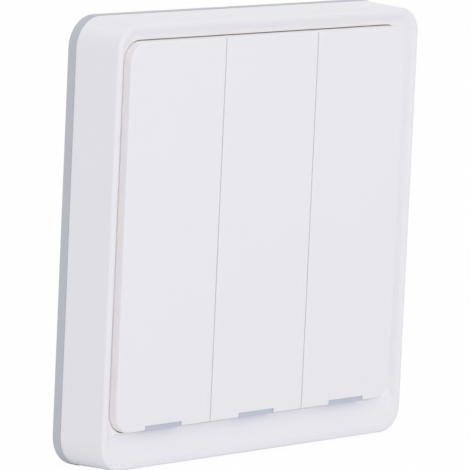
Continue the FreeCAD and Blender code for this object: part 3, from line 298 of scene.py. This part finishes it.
# Circuit board: a millimetre of glass laminate under green solder mask, with
# copper tracks, plated holes and bare laminate at its cut edge. Four screws
# hold it to the carrier's bosses.
MASK_GREEN = (0.012, 0.105, 0.040, 1)
TRACK_GREEN = (0.030, 0.200, 0.075, 1)
LAMINATE = (0.46, 0.42, 0.24, 1)
TIN = (0.62, 0.61, 0.58, 1)
BOARD_ROUGHNESS = (0.28, 0.8)
TRACK_PITCH = 0.0011
TRACK_WIDTH = 0.00016
TRACK_RUN = 0.0062
TRACK_SOFTNESS = 0.1
TRACK_RELIEF = (0.00003, 0.5)
ROUTED_SCALE = 170.0
ROUTED_LEVEL = 0.48
HOLE_SCALE = 260.0
HOLE_REACH = 0.085
EDGE_FACING = 0.5


def board_material():
    """Solder mask over tracks, tinned holes, and laminate at the edge."""
    material, nodes, links, shader = blank_material("board_solder_mask")
    axes = object_axes(nodes, links)
    sheet = nodes.new("ShaderNodeCombineXYZ")
    links.new(axes["X"], sheet.inputs["X"])
    links.new(axes["Z"], sheet.inputs["Y"])
    tracks = nodes.new("ShaderNodeTexBrick")
    tracks.inputs["Scale"].default_value = 1.0
    tracks.inputs["Brick Width"].default_value = TRACK_RUN
    tracks.inputs["Row Height"].default_value = TRACK_PITCH
    tracks.inputs["Mortar Size"].default_value = TRACK_WIDTH / 2
    tracks.inputs["Mortar Smooth"].default_value = TRACK_SOFTNESS
    links.new(sheet.outputs["Vector"], tracks.inputs["Vector"])
    regions = nodes.new("ShaderNodeTexNoise")
    regions.inputs["Scale"].default_value = ROUTED_SCALE
    links.new(sheet.outputs["Vector"], regions.inputs["Vector"])
    routed = math_node(nodes, links, "GREATER_THAN", regions.outputs["Fac"], ROUTED_LEVEL)
    track_mask = math_node(nodes, links, "MULTIPLY", tracks.outputs["Fac"], routed)
    holes = nodes.new("ShaderNodeTexVoronoi")
    holes.inputs["Scale"].default_value = HOLE_SCALE
    links.new(sheet.outputs["Vector"], holes.inputs["Vector"])
    hole_mask = math_node(nodes, links, "LESS_THAN", holes.outputs["Distance"], HOLE_REACH)
    place = nodes.new("ShaderNodeTexCoord")
    facing = nodes.new("ShaderNodeSeparateXYZ")
    links.new(place.outputs["Normal"], facing.inputs["Vector"])
    facing_share = math_node(nodes, links, "ABSOLUTE", facing.outputs["Y"])
    edge_mask = math_node(nodes, links, "LESS_THAN", facing_share, EDGE_FACING)
    coated = tinted(nodes, links, track_mask, MASK_GREEN, TRACK_GREEN)
    drilled = tinted(nodes, links, hole_mask, coated, TIN)
    links.new(tinted(nodes, links, edge_mask, drilled, LAMINATE), shader.inputs["Base Color"])
    links.new(spread(nodes, links, edge_mask, *BOARD_ROUGHNESS), shader.inputs["Roughness"])
    roughened(nodes, links, shader, track_mask, *TRACK_RELIEF)
    return material


dress("circuit_board", board_material())

# Tact switches: a black moulded case on four tinned legs, one behind each
# key, with a pale plunger that snaps a steel dome. They are soldered to the
# board's front.
CASE_LIGHT = (0.030, 0.030, 0.032, 1)
CASE_DARK = (0.018, 0.018, 0.020, 1)
CASE_ROUGHNESS = (0.42, 0.54)
CASE_GRAIN_DEPTH = 0.00002
PLUNGER_LIGHT = (0.62, 0.58, 0.48, 1)
PLUNGER_DARK = (0.56, 0.52, 0.43, 1)
PLUNGER_ROUGHNESS = (0.40, 0.50)
PLUNGER_GRAIN = (3000.0, 0.00002)
TIN_DULL = (0.50, 0.49, 0.46, 1)
LEG_MARKS = (900.0, 400.0)
LEG_POLISH = 0.12
METAL_MARKS = (900.0, 150.0)
METAL_RELIEF = (0.00001, 0.2)
STREAK_STRETCH = (0.06, 1.0, 1.0)
MARKS_DETAIL = 3.0
TACT_CASE_HALF = 0.0031
KEY_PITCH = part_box("key_right")[0].x - key_low.x


def metal_surface_group():
    """Shader group for plated and rolled metal: long faint streaks and small stains."""
    group = bpy.data.node_groups.new("metal_surface", "ShaderNodeTree")
    for name, default in zip(("Streak Scale", "Stain Scale"), METAL_MARKS):
        socket = group.interface.new_socket(name, in_out="INPUT", socket_type="NodeSocketFloat")
        socket.default_value = default
    group.interface.new_socket("Vector", in_out="INPUT", socket_type="NodeSocketVector")
    for name in ("Streak", "Stain"):
        group.interface.new_socket(name, in_out="OUTPUT", socket_type="NodeSocketFloat")
    nodes, links = group.nodes, group.links
    inputs = nodes.new("NodeGroupInput")
    outputs = nodes.new("NodeGroupOutput")
    stretch = nodes.new("ShaderNodeMapping")
    stretch.inputs["Scale"].default_value = STREAK_STRETCH
    links.new(inputs.outputs["Vector"], stretch.inputs["Vector"])
    for name, vector in (("Streak", stretch.outputs["Vector"]),
                         ("Stain", inputs.outputs["Vector"])):
        noise = nodes.new("ShaderNodeTexNoise")
        noise.inputs["Detail"].default_value = MARKS_DETAIL
        links.new(vector, noise.inputs["Vector"])
        links.new(inputs.outputs[name + " Scale"], noise.inputs["Scale"])
        links.new(noise.outputs["Fac"], outputs.inputs[name])
    return group


METAL_SURFACE = metal_surface_group()


def metal_finish(nodes, links, light, dark, marks):
    """Colour and streaks of a metal; marks gives the scales of its streaks and stains."""
    surface = nodes.new("ShaderNodeGroup")
    surface.node_tree = METAL_SURFACE
    for name, scale in zip(("Streak Scale", "Stain Scale"), marks):
        surface.inputs[name].default_value = scale
    place = nodes.new("ShaderNodeTexCoord")
    links.new(place.outputs["Object"], surface.inputs["Vector"])
    colour = tinted(nodes, links, surface.outputs["Stain"], dark, light)
    return colour, surface.outputs["Streak"]


def plated_metal(name, light, dark, roughness, marks=METAL_MARKS):
    """A metal piece with faint streaks."""
    material, nodes, links, shader = blank_material(name)
    colour, streak = metal_finish(nodes, links, light, dark, marks)
    shader.inputs["Metallic"].default_value = 1.0
    links.new(colour, shader.inputs["Base Color"])
    links.new(spread(nodes, links, streak, *roughness), shader.inputs["Roughness"])
    roughened(nodes, links, shader, streak, *METAL_RELIEF)
    return material


def cased_part(name, case_light, case_dark, case_roughness, metal_mask, metal_light=TIN):
    """A moulded or ceramic case with bare metal where the mask is 1."""
    material, nodes, links, shader = blank_material(name)
    surface = nodes.new("ShaderNodeGroup")
    surface.node_tree = MOULDED_SURFACE
    mask = metal_mask(nodes, links, object_axes(nodes, links))
    metal, streak = metal_finish(nodes, links, metal_light, TIN_DULL, LEG_MARKS)
    case = tinted(nodes, links, surface.outputs["Cloud"], case_dark, case_light)
    sheen = spread(nodes, links, surface.outputs["Grain"], *case_roughness)
    polish = math_node(nodes, links, "MULTIPLY", mask, LEG_POLISH)
    links.new(tinted(nodes, links, mask, case, metal), shader.inputs["Base Color"])
    links.new(mask, shader.inputs["Metallic"])
    links.new(math_node(nodes, links, "SUBTRACT", sheen, polish), shader.inputs["Roughness"])
    roughened(nodes, links, shader, surface.outputs["Grain"], CASE_GRAIN_DEPTH)
    return material


def tact_legs(nodes, links, axes):
    """The legs stand out sideways from the case of each key's switch."""
    local = math_node(nodes, links, "WRAP", axes["X"], KEY_PITCH / 2, -KEY_PITCH / 2)
    return beyond(nodes, links, local, 0.0, TACT_CASE_HALF)


tact_case = cased_part("tact_case", CASE_LIGHT, CASE_DARK, CASE_ROUGHNESS, tact_legs)
plunger_plastic = moulded_plastic("plunger_plastic", PLUNGER_LIGHT, PLUNGER_DARK,
                                  PLUNGER_ROUGHNESS, PLUNGER_GRAIN)
for key in KEYS:
    dress("tact_switch_" + key, tact_case)
    dress("tact_plunger_" + key, plunger_plastic)

# Indicator lamps: pale ceramic cases with a lens of yellowish resin over the
# chip, one soldered to the board below each switch, behind the light guide.
LAMP_CASE_LIGHT = (0.80, 0.79, 0.74, 1)
LAMP_CASE_DARK = (0.74, 0.72, 0.66, 1)
LAMP_LENS_LIGHT = (0.68, 0.54, 0.16, 1)
LAMP_LENS_DARK = (0.60, 0.46, 0.10, 1)
LAMP_ROUGHNESS = (0.55, 0.12)
LAMP_GRAIN_DEPTH = 0.00001
LAMP_FACE = -0.00777


def lamp_material():
    """A chalky case, and a glossy lens in front of the level of its face."""
    material, nodes, links, shader = blank_material("indicator_lamp")
    surface = nodes.new("ShaderNodeGroup")
    surface.node_tree = MOULDED_SURFACE
    axes = object_axes(nodes, links)
    lens_mask = math_node(nodes, links, "LESS_THAN", axes["Y"], LAMP_FACE)
    case = tinted(nodes, links, surface.outputs["Cloud"], LAMP_CASE_DARK, LAMP_CASE_LIGHT)
    lens = tinted(nodes, links, surface.outputs["Cloud"], LAMP_LENS_DARK, LAMP_LENS_LIGHT)
    links.new(tinted(nodes, links, lens_mask, case, lens), shader.inputs["Base Color"])
    links.new(spread(nodes, links, lens_mask, *LAMP_ROUGHNESS), shader.inputs["Roughness"])
    roughened(nodes, links, shader, surface.outputs["Grain"], LAMP_GRAIN_DEPTH)
    return material


lamp_finish = lamp_material()
for key in KEYS:
    dress("indicator_led_" + key, lamp_finish)

# Button cell: a pressed can of nickel-plated steel, turned and wiped clean,
# with a stepped cap on the board's side and a grey seal between the two.
CELL_LIGHT = (0.66, 0.66, 0.65, 1)
CELL_DARK = (0.58, 0.58, 0.57, 1)
CELL_ROUGHNESS = (0.20, 0.44)
CELL_MARKS = (700.0, 120.0)
CELL_RELIEF = (0.00001, 0.3)
CELL_RING_SCALE = 5200.0
CELL_STEP = 0.00055
SEAL_GREY = (0.10, 0.10, 0.11, 1)
SEAL_DEPTH = 0.00012
cell_low, cell_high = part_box("coin_cell")
CELL_MIDDLE = (cell_low + cell_high) / 2


def cell_material():
    """Faint turned rings about the cell's axis, and the dark seal at its step."""
    material, nodes, links, shader = blank_material("nickel_cell")
    axes = object_axes(nodes, links)
    across = math_node(nodes, links, "SUBTRACT", axes["X"], CELL_MIDDLE.x)
    rise = math_node(nodes, links, "SUBTRACT", axes["Z"], CELL_MIDDLE.z)
    squares = [math_node(nodes, links, "MULTIPLY", side, side) for side in (across, rise)]
    radius = math_node(nodes, links, "SQRT", math_node(nodes, links, "ADD", *squares))
    rings = nodes.new("ShaderNodeTexNoise")
    rings.noise_dimensions = "1D"
    rings.inputs["Scale"].default_value = CELL_RING_SCALE
    links.new(radius, rings.inputs["W"])
    colour, streak = metal_finish(nodes, links, CELL_LIGHT, CELL_DARK, CELL_MARKS)
    from_step = math_node(nodes, links, "SUBTRACT", axes["Y"], cell_low.y + CELL_STEP)
    step_distance = math_node(nodes, links, "ABSOLUTE", from_step)
    seal = math_node(nodes, links, "LESS_THAN", step_distance, SEAL_DEPTH)
    bare = math_node(nodes, links, "SUBTRACT", 1.0, seal)
    turned = math_node(nodes, links, "MULTIPLY", rings.outputs["Fac"], streak)
    links.new(tinted(nodes, links, bare, SEAL_GREY, colour), shader.inputs["Base Color"])
    links.new(bare, shader.inputs["Metallic"])
    links.new(spread(nodes, links, turned, *CELL_ROUGHNESS), shader.inputs["Roughness"])
    roughened(nodes, links, shader, rings.outputs["Fac"], *CELL_RELIEF)
    return material


dress("coin_cell", cell_material())

# Cell holder: a black ring moulded in glass-filled nylon and pressed into the
# board, with a notch where a thumb pushes the cell out.
HOLDER_LIGHT = (0.034, 0.034, 0.036, 1)
HOLDER_DARK = (0.020, 0.020, 0.022, 1)
HOLDER_ROUGHNESS = (0.52, 0.66)
HOLDER_GRAIN = (1800.0, 0.00005)
dress("battery_holder", moulded_plastic("holder_nylon", HOLDER_LIGHT, HOLDER_DARK,
                                        HOLDER_ROUGHNESS, HOLDER_GRAIN))

# Cell contacts: a bent strip over the can and a slit disc under the cap,
# both stamped from nickel-plated spring bronze and soldered to the board.
CONTACT_LIGHT = (0.70, 0.68, 0.62, 1)
CONTACT_DARK = (0.60, 0.58, 0.52, 1)
CONTACT_ROUGHNESS = (0.22, 0.36)
contact_metal = plated_metal("contact_nickel", CONTACT_LIGHT, CONTACT_DARK, CONTACT_ROUGHNESS)
dress("cell_clip", contact_metal)
dress("cell_contact", contact_metal)

# Controller chip: a black moulded package on sixteen tinned gull-wing legs,
# soldered behind the board.
CHIP_LIGHT = (0.022, 0.022, 0.024, 1)
CHIP_DARK = (0.012, 0.012, 0.014, 1)
CHIP_ROUGHNESS = (0.46, 0.60)
CHIP_CASE_HALF = 0.00195
chip_low, chip_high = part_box("controller_chip")
CHIP_MIDDLE = (chip_low + chip_high) / 2


def chip_legs(nodes, links, axes):
    """The legs stand out above and below the package."""
    return beyond(nodes, links, axes["Z"], CHIP_MIDDLE.z, CHIP_CASE_HALF)


dress("controller_chip", cased_part("chip_package", CHIP_LIGHT, CHIP_DARK, CHIP_ROUGHNESS,
                                    chip_legs))

# Quartz crystal: a drawn nickel lid on a small brown ceramic base, soldered
# behind the board next to the controller.
CRYSTAL_BASE_LIGHT = (0.30, 0.24, 0.17, 1)
CRYSTAL_BASE_DARK = (0.25, 0.20, 0.14, 1)
CRYSTAL_BASE_ROUGHNESS = (0.45, 0.55)
CRYSTAL_BASE_DEPTH = 0.00037
CRYSTAL_LID = (0.66, 0.64, 0.58, 1)
LID_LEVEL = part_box("quartz_crystal")[0].y + CRYSTAL_BASE_DEPTH


def crystal_lid(nodes, links, axes):
    """The lid stands on the base, away from the board."""
    return math_node(nodes, links, "GREATER_THAN", axes["Y"], LID_LEVEL)


dress("quartz_crystal", cased_part("crystal_can", CRYSTAL_BASE_LIGHT, CRYSTAL_BASE_DARK,
                                   CRYSTAL_BASE_ROUGHNESS, crystal_lid, CRYSTAL_LID))

# Resistors and capacitors: two rows of ceramic chips with tinned ends,
# soldered behind the board below the controller.
PASSIVE_LIGHT = (0.30, 0.20, 0.12, 1)
PASSIVE_DARK = (0.20, 0.13, 0.08, 1)
PASSIVE_ROUGHNESS = (0.40, 0.52)
PASSIVE_PITCH = 0.0031
PASSIVE_ROW_PITCH = 0.0024
PASSIVE_LENGTH = 0.0016
PASSIVE_WIDTH = 0.0008
PASSIVE_BODY_HALF = 0.00048
passive_low, passive_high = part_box("chip_passives")


def passive_ends(nodes, links, axes):
    """Each chip's two ends, found by its place in the row."""
    first_middle = passive_low.x + PASSIVE_LENGTH / 2
    start = math_node(nodes, links, "SUBTRACT", axes["X"], first_middle)
    local = math_node(nodes, links, "WRAP", start, PASSIVE_PITCH / 2, -PASSIVE_PITCH / 2)
    return beyond(nodes, links, local, 0.0, PASSIVE_BODY_HALF)


dress("chip_passives", cased_part("passive_ceramic", PASSIVE_LIGHT, PASSIVE_DARK,
                                  PASSIVE_ROUGHNESS, passive_ends))

# Screws: four cross-headed screws of zinc-plated steel that hold the board
# to the carrier's bosses.
ZINC_LIGHT = (0.58, 0.59, 0.60, 1)
ZINC_DARK = (0.46, 0.47, 0.49, 1)
ZINC_ROUGHNESS = (0.26, 0.40)
ZINC_MARKS = (1200.0, 260.0)
dress("board_screws", plated_metal("zinc_screw", ZINC_LIGHT, ZINC_DARK, ZINC_ROUGHNESS,
                                   ZINC_MARKS))

# Aerial: eight turns of round enamelled copper wire, wound on a mandrel,
# whose two ends lie on the board and are soldered.
ENAMEL_LIGHT = (0.72, 0.30, 0.13, 1)
ENAMEL_DARK = (0.58, 0.22, 0.09, 1)
ENAMEL_ROUGHNESS = (0.24, 0.36)
ENAMEL_MARKS = (2200.0, 500.0)
COIL_TURNS = 8.0
COIL_WIRE_RADIUS = 0.00025
COIL_SPIRAL_STEPS = 26
COIL_WIRE_STEPS = 9
QUARTER_TURN = math.pi / 2
coil_low, coil_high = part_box("antenna_coil")
COIL_MIDDLE = (coil_low + coil_high) / 2
COIL_RADIUS = (coil_high.z - coil_low.z) / 2 - COIL_WIRE_RADIUS
COIL_LENGTH = coil_high.x - coil_low.x - 2 * COIL_WIRE_RADIUS
enamel = plated_metal("enamelled_copper", ENAMEL_LIGHT, ENAMEL_DARK, ENAMEL_ROUGHNESS,
                      ENAMEL_MARKS)


def geometry_tree(name, **kinds):
    """A geometry tree with named inputs of the given kinds, and their identifiers."""
    tree = bpy.data.node_groups.new(name, "GeometryNodeTree")
    tree.interface.new_socket("Geometry", in_out="INPUT", socket_type="NodeSocketGeometry")
    sockets = {}
    for label, kind in kinds.items():
        socket = tree.interface.new_socket(label, in_out="INPUT", socket_type="NodeSocket" + kind)
        sockets[label] = socket.identifier
    tree.interface.new_socket("Geometry", in_out="OUTPUT", socket_type="NodeSocketGeometry")
    return tree, sockets


def finish_tree(tree, inputs, geometry):
    """Smooths the faces, makes the copies real and gives them their material."""
    nodes, links = tree.nodes, tree.links
    smooth = nodes.new("GeometryNodeSetShadeSmooth")
    links.new(geometry, smooth.inputs["Geometry"])
    real = nodes.new("GeometryNodeRealizeInstances")
    links.new(smooth.outputs["Geometry"], real.inputs["Geometry"])
    paint = nodes.new("GeometryNodeSetMaterial")
    links.new(real.outputs["Geometry"], paint.inputs["Geometry"])
    links.new(inputs.outputs["material"], paint.inputs["Material"])
    outputs = nodes.new("NodeGroupOutput")
    links.new(paint.outputs["Geometry"], outputs.inputs["Geometry"])


def coil_tree():
    """Geometry tree that winds a round wire about a line across the board."""
    tree, sockets = geometry_tree("wire_winding", turns="Float", radius="Float", length="Float",
                                  wire_radius="Float", centre="Vector", material="Material")
    nodes, links = tree.nodes, tree.links
    inputs = nodes.new("NodeGroupInput")
    spiral = nodes.new("GeometryNodeCurveSpiral")
    spiral.inputs["Resolution"].default_value = COIL_SPIRAL_STEPS
    links.new(inputs.outputs["turns"], spiral.inputs["Rotations"])
    links.new(inputs.outputs["radius"], spiral.inputs["Start Radius"])
    links.new(inputs.outputs["radius"], spiral.inputs["End Radius"])
    links.new(inputs.outputs["length"], spiral.inputs["Height"])
    section = nodes.new("GeometryNodeCurvePrimitiveCircle")
    section.inputs["Resolution"].default_value = COIL_WIRE_STEPS
    links.new(inputs.outputs["wire_radius"], section.inputs["Radius"])
    wire = nodes.new("GeometryNodeCurveToMesh")
    wire.inputs["Fill Caps"].default_value = True
    links.new(spiral.outputs["Curve"], wire.inputs["Curve"])
    links.new(section.outputs["Curve"], wire.inputs["Profile Curve"])
    half_back = math_node(nodes, links, "MULTIPLY", inputs.outputs["length"], -0.5)
    shift = nodes.new("ShaderNodeCombineXYZ")
    links.new(half_back, shift.inputs["Z"])
    centred = nodes.new("GeometryNodeTransform")
    centred.inputs["Rotation"].default_value = Euler((0, 0, -QUARTER_TURN))
    links.new(wire.outputs["Mesh"], centred.inputs["Geometry"])
    links.new(shift.outputs["Vector"], centred.inputs["Translation"])
    laid = nodes.new("GeometryNodeTransform")
    laid.inputs["Rotation"].default_value = Euler((0, QUARTER_TURN, 0))
    links.new(centred.outputs["Geometry"], laid.inputs["Geometry"])
    links.new(inputs.outputs["centre"], laid.inputs["Translation"])
    finish_tree(tree, inputs, laid.outputs["Geometry"])
    return tree, sockets


def grown(name, seed_mesh, tree, sockets, material, body, **values):
    """Runs a geometry tree on a seed mesh and keeps its result as a plain piece on a body."""
    piece = bpy.data.objects.new(name, seed_mesh)
    bpy.context.scene.collection.objects.link(piece)
    modifier = piece.modifiers.new(name, "NODES")
    modifier.node_group = tree
    modifier[sockets["material"]] = material
    for label, value in values.items():
        modifier[sockets[label]] = value
    bpy.context.view_layer.update()
    evaluated = piece.evaluated_get(bpy.context.evaluated_depsgraph_get())
    result = bpy.data.meshes.new_from_object(evaluated)
    piece.modifiers.remove(modifier)
    piece.data = result
    result.name = name
    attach(piece, body)
    return piece


winding_tree, winding_sockets = coil_tree()
coil = grown("aerial_winding", bpy.data.meshes.new("aerial_seed"), winding_tree,
             winding_sockets, enamel, "switch", turns=COIL_TURNS, radius=COIL_RADIUS,
             length=COIL_LENGTH, wire_radius=COIL_WIRE_RADIUS, centre=tuple(COIL_MIDDLE))
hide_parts("antenna_coil")

# Solder joints: a small bright fillet of tin at each leg, lamp end, chip end
# and end of the aerial's wire, on both faces of the board. A joint's two
# sizes are its radius on the board and its height.
SOLDER_LIGHT = (0.74, 0.74, 0.75, 1)
SOLDER_DARK = (0.62, 0.62, 0.63, 1)
SOLDER_ROUGHNESS = (0.16, 0.30)
SOLDER_MARKS = (600.0, 900.0)
JOINT_SIDES = 10
JOINT_RINGS = 6
TACT_JOINT = (0.00062, 0.00034)
LAMP_JOINT = (0.00060, 0.00026)
CHIP_JOINT = (0.00034, 0.00027)
PASSIVE_JOINT = (0.00042, 0.00028)
AERIAL_JOINT = (0.00062, 0.00046)
TACT_LEG_SPACING = 0.0045
TACT_LEG_MIDDLE = 0.00030
CHIP_LEGS_A_SIDE = 8
CHIP_LEG_PITCH = 0.00127
CHIP_TOE = 0.00022
PASSIVES_IN_ROW = 5
PASSIVE_ROWS = 2
BOARD_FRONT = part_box("circuit_board")[0].y
BOARD_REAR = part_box("circuit_board")[1].y
solder = plated_metal("bright_solder", SOLDER_LIGHT, SOLDER_DARK, SOLDER_ROUGHNESS,
                      SOLDER_MARKS)


def joint_tree():
    """Geometry tree that sets a flattened dome of solder on each point."""
    tree, sockets = geometry_tree("solder_joints", radius="Float", height="Float",
                                  material="Material")
    nodes, links = tree.nodes, tree.links
    inputs = nodes.new("NodeGroupInput")
    dome = nodes.new("GeometryNodeMeshUVSphere")
    dome.inputs["Segments"].default_value = JOINT_SIDES
    dome.inputs["Rings"].default_value = JOINT_RINGS
    dome.inputs["Radius"].default_value = 1.0
    size = nodes.new("ShaderNodeCombineXYZ")
    links.new(inputs.outputs["radius"], size.inputs["X"])
    links.new(inputs.outputs["height"], size.inputs["Y"])
    links.new(inputs.outputs["radius"], size.inputs["Z"])
    placed = nodes.new("GeometryNodeInstanceOnPoints")
    links.new(inputs.outputs["Geometry"], placed.inputs["Points"])
    links.new(dome.outputs["Mesh"], placed.inputs["Instance"])
    links.new(size.outputs["Vector"], placed.inputs["Scale"])
    finish_tree(tree, inputs, placed.outputs["Instances"])
    return tree, sockets


def joints_at(name, places, radius, height):
    """Solder joints at a list of places on the board."""
    seed = bpy.data.meshes.new(name + "_places")
    seed.from_pydata(places, [], [])
    grown(name, seed, solder_tree, solder_sockets, solder, "switch",
                  radius=radius, height=height)


solder_tree, solder_sockets = joint_tree()
leg_places, lamp_places, toe_places, end_places = [], [], [], []
for key in KEYS:
    low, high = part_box("tact_switch_" + key)
    middle = (low.z + high.z) / 2
    for x in (low.x + TACT_LEG_MIDDLE, high.x - TACT_LEG_MIDDLE):
        for z in (middle - TACT_LEG_SPACING / 2, middle + TACT_LEG_SPACING / 2):
            leg_places.append((x, BOARD_FRONT, z))
    low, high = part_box("indicator_led_" + key)
    for x in (low.x, high.x):
        lamp_places.append((x, BOARD_FRONT, (low.z + high.z) / 2))
for leg in range(CHIP_LEGS_A_SIDE):
    x = CHIP_MIDDLE.x + (leg - (CHIP_LEGS_A_SIDE - 1) / 2) * CHIP_LEG_PITCH
    for z in (chip_low.z + CHIP_TOE, chip_high.z - CHIP_TOE):
        toe_places.append((x, BOARD_REAR, z))
for row in range(PASSIVE_ROWS):
    z = passive_high.z - PASSIVE_WIDTH / 2 - row * PASSIVE_ROW_PITCH
    for number in range(PASSIVES_IN_ROW):
        for end in (0.0, PASSIVE_LENGTH):
            end_places.append((passive_low.x + number * PASSIVE_PITCH + end, BOARD_REAR, z))
wire_places = [(x, BOARD_REAR, COIL_MIDDLE.z) for x in (coil_low.x, coil_high.x)]
joints_at("tact_solder", leg_places, *TACT_JOINT)
joints_at("lamp_solder", lamp_places, *LAMP_JOINT)
joints_at("chip_solder", toe_places, *CHIP_JOINT)
joints_at("passive_solder", end_places, *PASSIVE_JOINT)
joints_at("aerial_solder", wire_places, *AERIAL_JOINT)

# Floor: a pale painted sheet a hair below the plate's lower edge, so that the
# two faces never share a plane. The camera sees it almost pure white.
FLOOR_GAP = 0.00005
FLOOR_SPAN = 3.0
FLOOR_CORNERS = ((-1, -1), (1, -1), (1, 1), (-1, 1))
FLOOR_WHITE = (0.94, 0.94, 0.94, 1)
FLOOR_ROUGHNESS = 0.9
FLOOR_WHITE_SHARE = 0.97
floor_level = cad_box[0][2] - FLOOR_GAP
floor_mesh = bpy.data.meshes.new("floor")
floor_mesh.from_pydata([(x * FLOOR_SPAN, y * FLOOR_SPAN, floor_level) for x, y in FLOOR_CORNERS],
                       [], [(0, 1, 2, 3)])
floor = bpy.data.objects.new("floor", floor_mesh)
bpy.context.scene.collection.objects.link(floor)
floor_paint, nodes, links, paint = blank_material("floor_paint", specular=0.0)
paint.inputs["Base Color"].default_value = FLOOR_WHITE
paint.inputs["Roughness"].default_value = FLOOR_ROUGHNESS
glow = nodes.new("ShaderNodeEmission")
blend_white = nodes.new("ShaderNodeMixShader")
ray = nodes.new("ShaderNodeLightPath")
share = math_node(nodes, links, "MULTIPLY", ray.outputs["Is Camera Ray"], FLOOR_WHITE_SHARE)
links.new(share, blend_white.inputs["Fac"])
links.new(paint.outputs["BSDF"], blend_white.inputs[1])
links.new(glow.outputs["Emission"], blend_white.inputs[2])
links.new(blend_white.outputs["Shader"], nodes["Material Output"].inputs["Surface"])
floor_mesh.materials.append(floor_paint)

# Surround: a white studio, dimmer as a light than as a background. The narrow
# gaps between white walls need more bounces of light than the default.
SURROUND_WHITE = (1, 1, 1, 1)
AMBIENT = 0.716
SEEN_BRIGHTNESS = 1.0
LIGHT_BOUNCES = 12
bpy.context.scene.cycles.diffuse_bounces = LIGHT_BOUNCES
bpy.context.scene.cycles.max_bounces = LIGHT_BOUNCES
world = bpy.data.worlds.new("surround")
bpy.context.scene.world = world
world.use_nodes = True
nodes, links = world.node_tree.nodes, world.node_tree.links
ambient = nodes["Background"]
ambient.inputs["Color"].default_value = SURROUND_WHITE
ambient.inputs["Strength"].default_value = AMBIENT
backdrop = nodes.new("ShaderNodeBackground")
backdrop.inputs["Color"].default_value = SURROUND_WHITE
backdrop.inputs["Strength"].default_value = SEEN_BRIGHTNESS
ray = nodes.new("ShaderNodeLightPath")
seen = math_node(nodes, links, "MAXIMUM", ray.outputs["Is Camera Ray"],
                 ray.outputs["Is Glossy Ray"])
seen = math_node(nodes, links, "MAXIMUM", seen, ray.outputs["Is Transmission Ray"])
choice = nodes.new("ShaderNodeMixShader")
links.new(seen, choice.inputs["Fac"])
links.new(ambient.outputs["Background"], choice.inputs[1])
links.new(backdrop.outputs["Background"], choice.inputs[2])
links.new(choice.outputs["Shader"], nodes["World Output"].inputs["Surface"])

# Softboxes: four square studio lamps, at the left, in front, overhead and
# behind, each placed by its azimuth and elevation and turned to the switch.
LAMP_REACH = 1.3
LAMP_SIDE = 0.7


def softbox(name, azimuth, elevation, power):
    """A square studio lamp that faces the origin."""
    across, rise = math.radians(azimuth), math.radians(elevation)
    place = Vector((LAMP_REACH * math.sin(across) * math.cos(rise),
                    -LAMP_REACH * math.cos(across) * math.cos(rise),
                    LAMP_REACH * math.sin(rise)))
    data = bpy.data.lights.new(name, "AREA")
    data.shape = "SQUARE"
    data.size = LAMP_SIDE
    data.energy = power
    lamp = bpy.data.objects.new(name, data)
    lamp.location = place
    lamp.rotation_euler = (-place).to_track_quat("-Z", "Y").to_euler()
    bpy.context.scene.collection.objects.link(lamp)


softbox("left_softbox", azimuth=-43, elevation=10, power=1.44)
softbox("front_softbox", azimuth=-4, elevation=10, power=1.56)
softbox("overhead_softbox", azimuth=15, elevation=60, power=1.02)
softbox("rear_softbox", azimuth=-168, elevation=46, power=1.28)

# Camera: a pinhole camera whose angles, focal length, distance and shifts
# were fitted together to the edges seen in the photograph.
YAW, PITCH, ROLL = math.radians(46.93345), math.radians(8.07650), math.radians(2.60181)
FOCAL_PIXELS = 5084.55
IMAGE_PIXELS = 470
SENSOR_WIDTH = 36.0
DISTANCE, SIDE_SHIFT, RISE_SHIFT = 0.9884, -0.003447, 0.001669
ahead = Vector((math.sin(YAW) * math.cos(PITCH), math.cos(YAW) * math.cos(PITCH),
                -math.sin(PITCH)))
level = Vector((math.cos(YAW), -math.sin(YAW), 0))
upward = level.cross(ahead)
right = level * math.cos(ROLL) + upward * math.sin(ROLL)
up = upward * math.cos(ROLL) - level * math.sin(ROLL)
place = -(right * SIDE_SHIFT + up * RISE_SHIFT + ahead * DISTANCE)
turn = Matrix((right, up, -ahead)).transposed().to_4x4()
camera_data = bpy.data.cameras.new("camera")
camera_data.sensor_width = SENSOR_WIDTH
camera_data.lens = FOCAL_PIXELS / IMAGE_PIXELS * SENSOR_WIDTH
camera = bpy.data.objects.new("camera", camera_data)
camera.matrix_world = Matrix.Translation(place) @ turn
bpy.context.scene.collection.objects.link(camera)
bpy.context.scene.camera = camera
bpy.context.scene.view_settings.view_transform = "Standard"
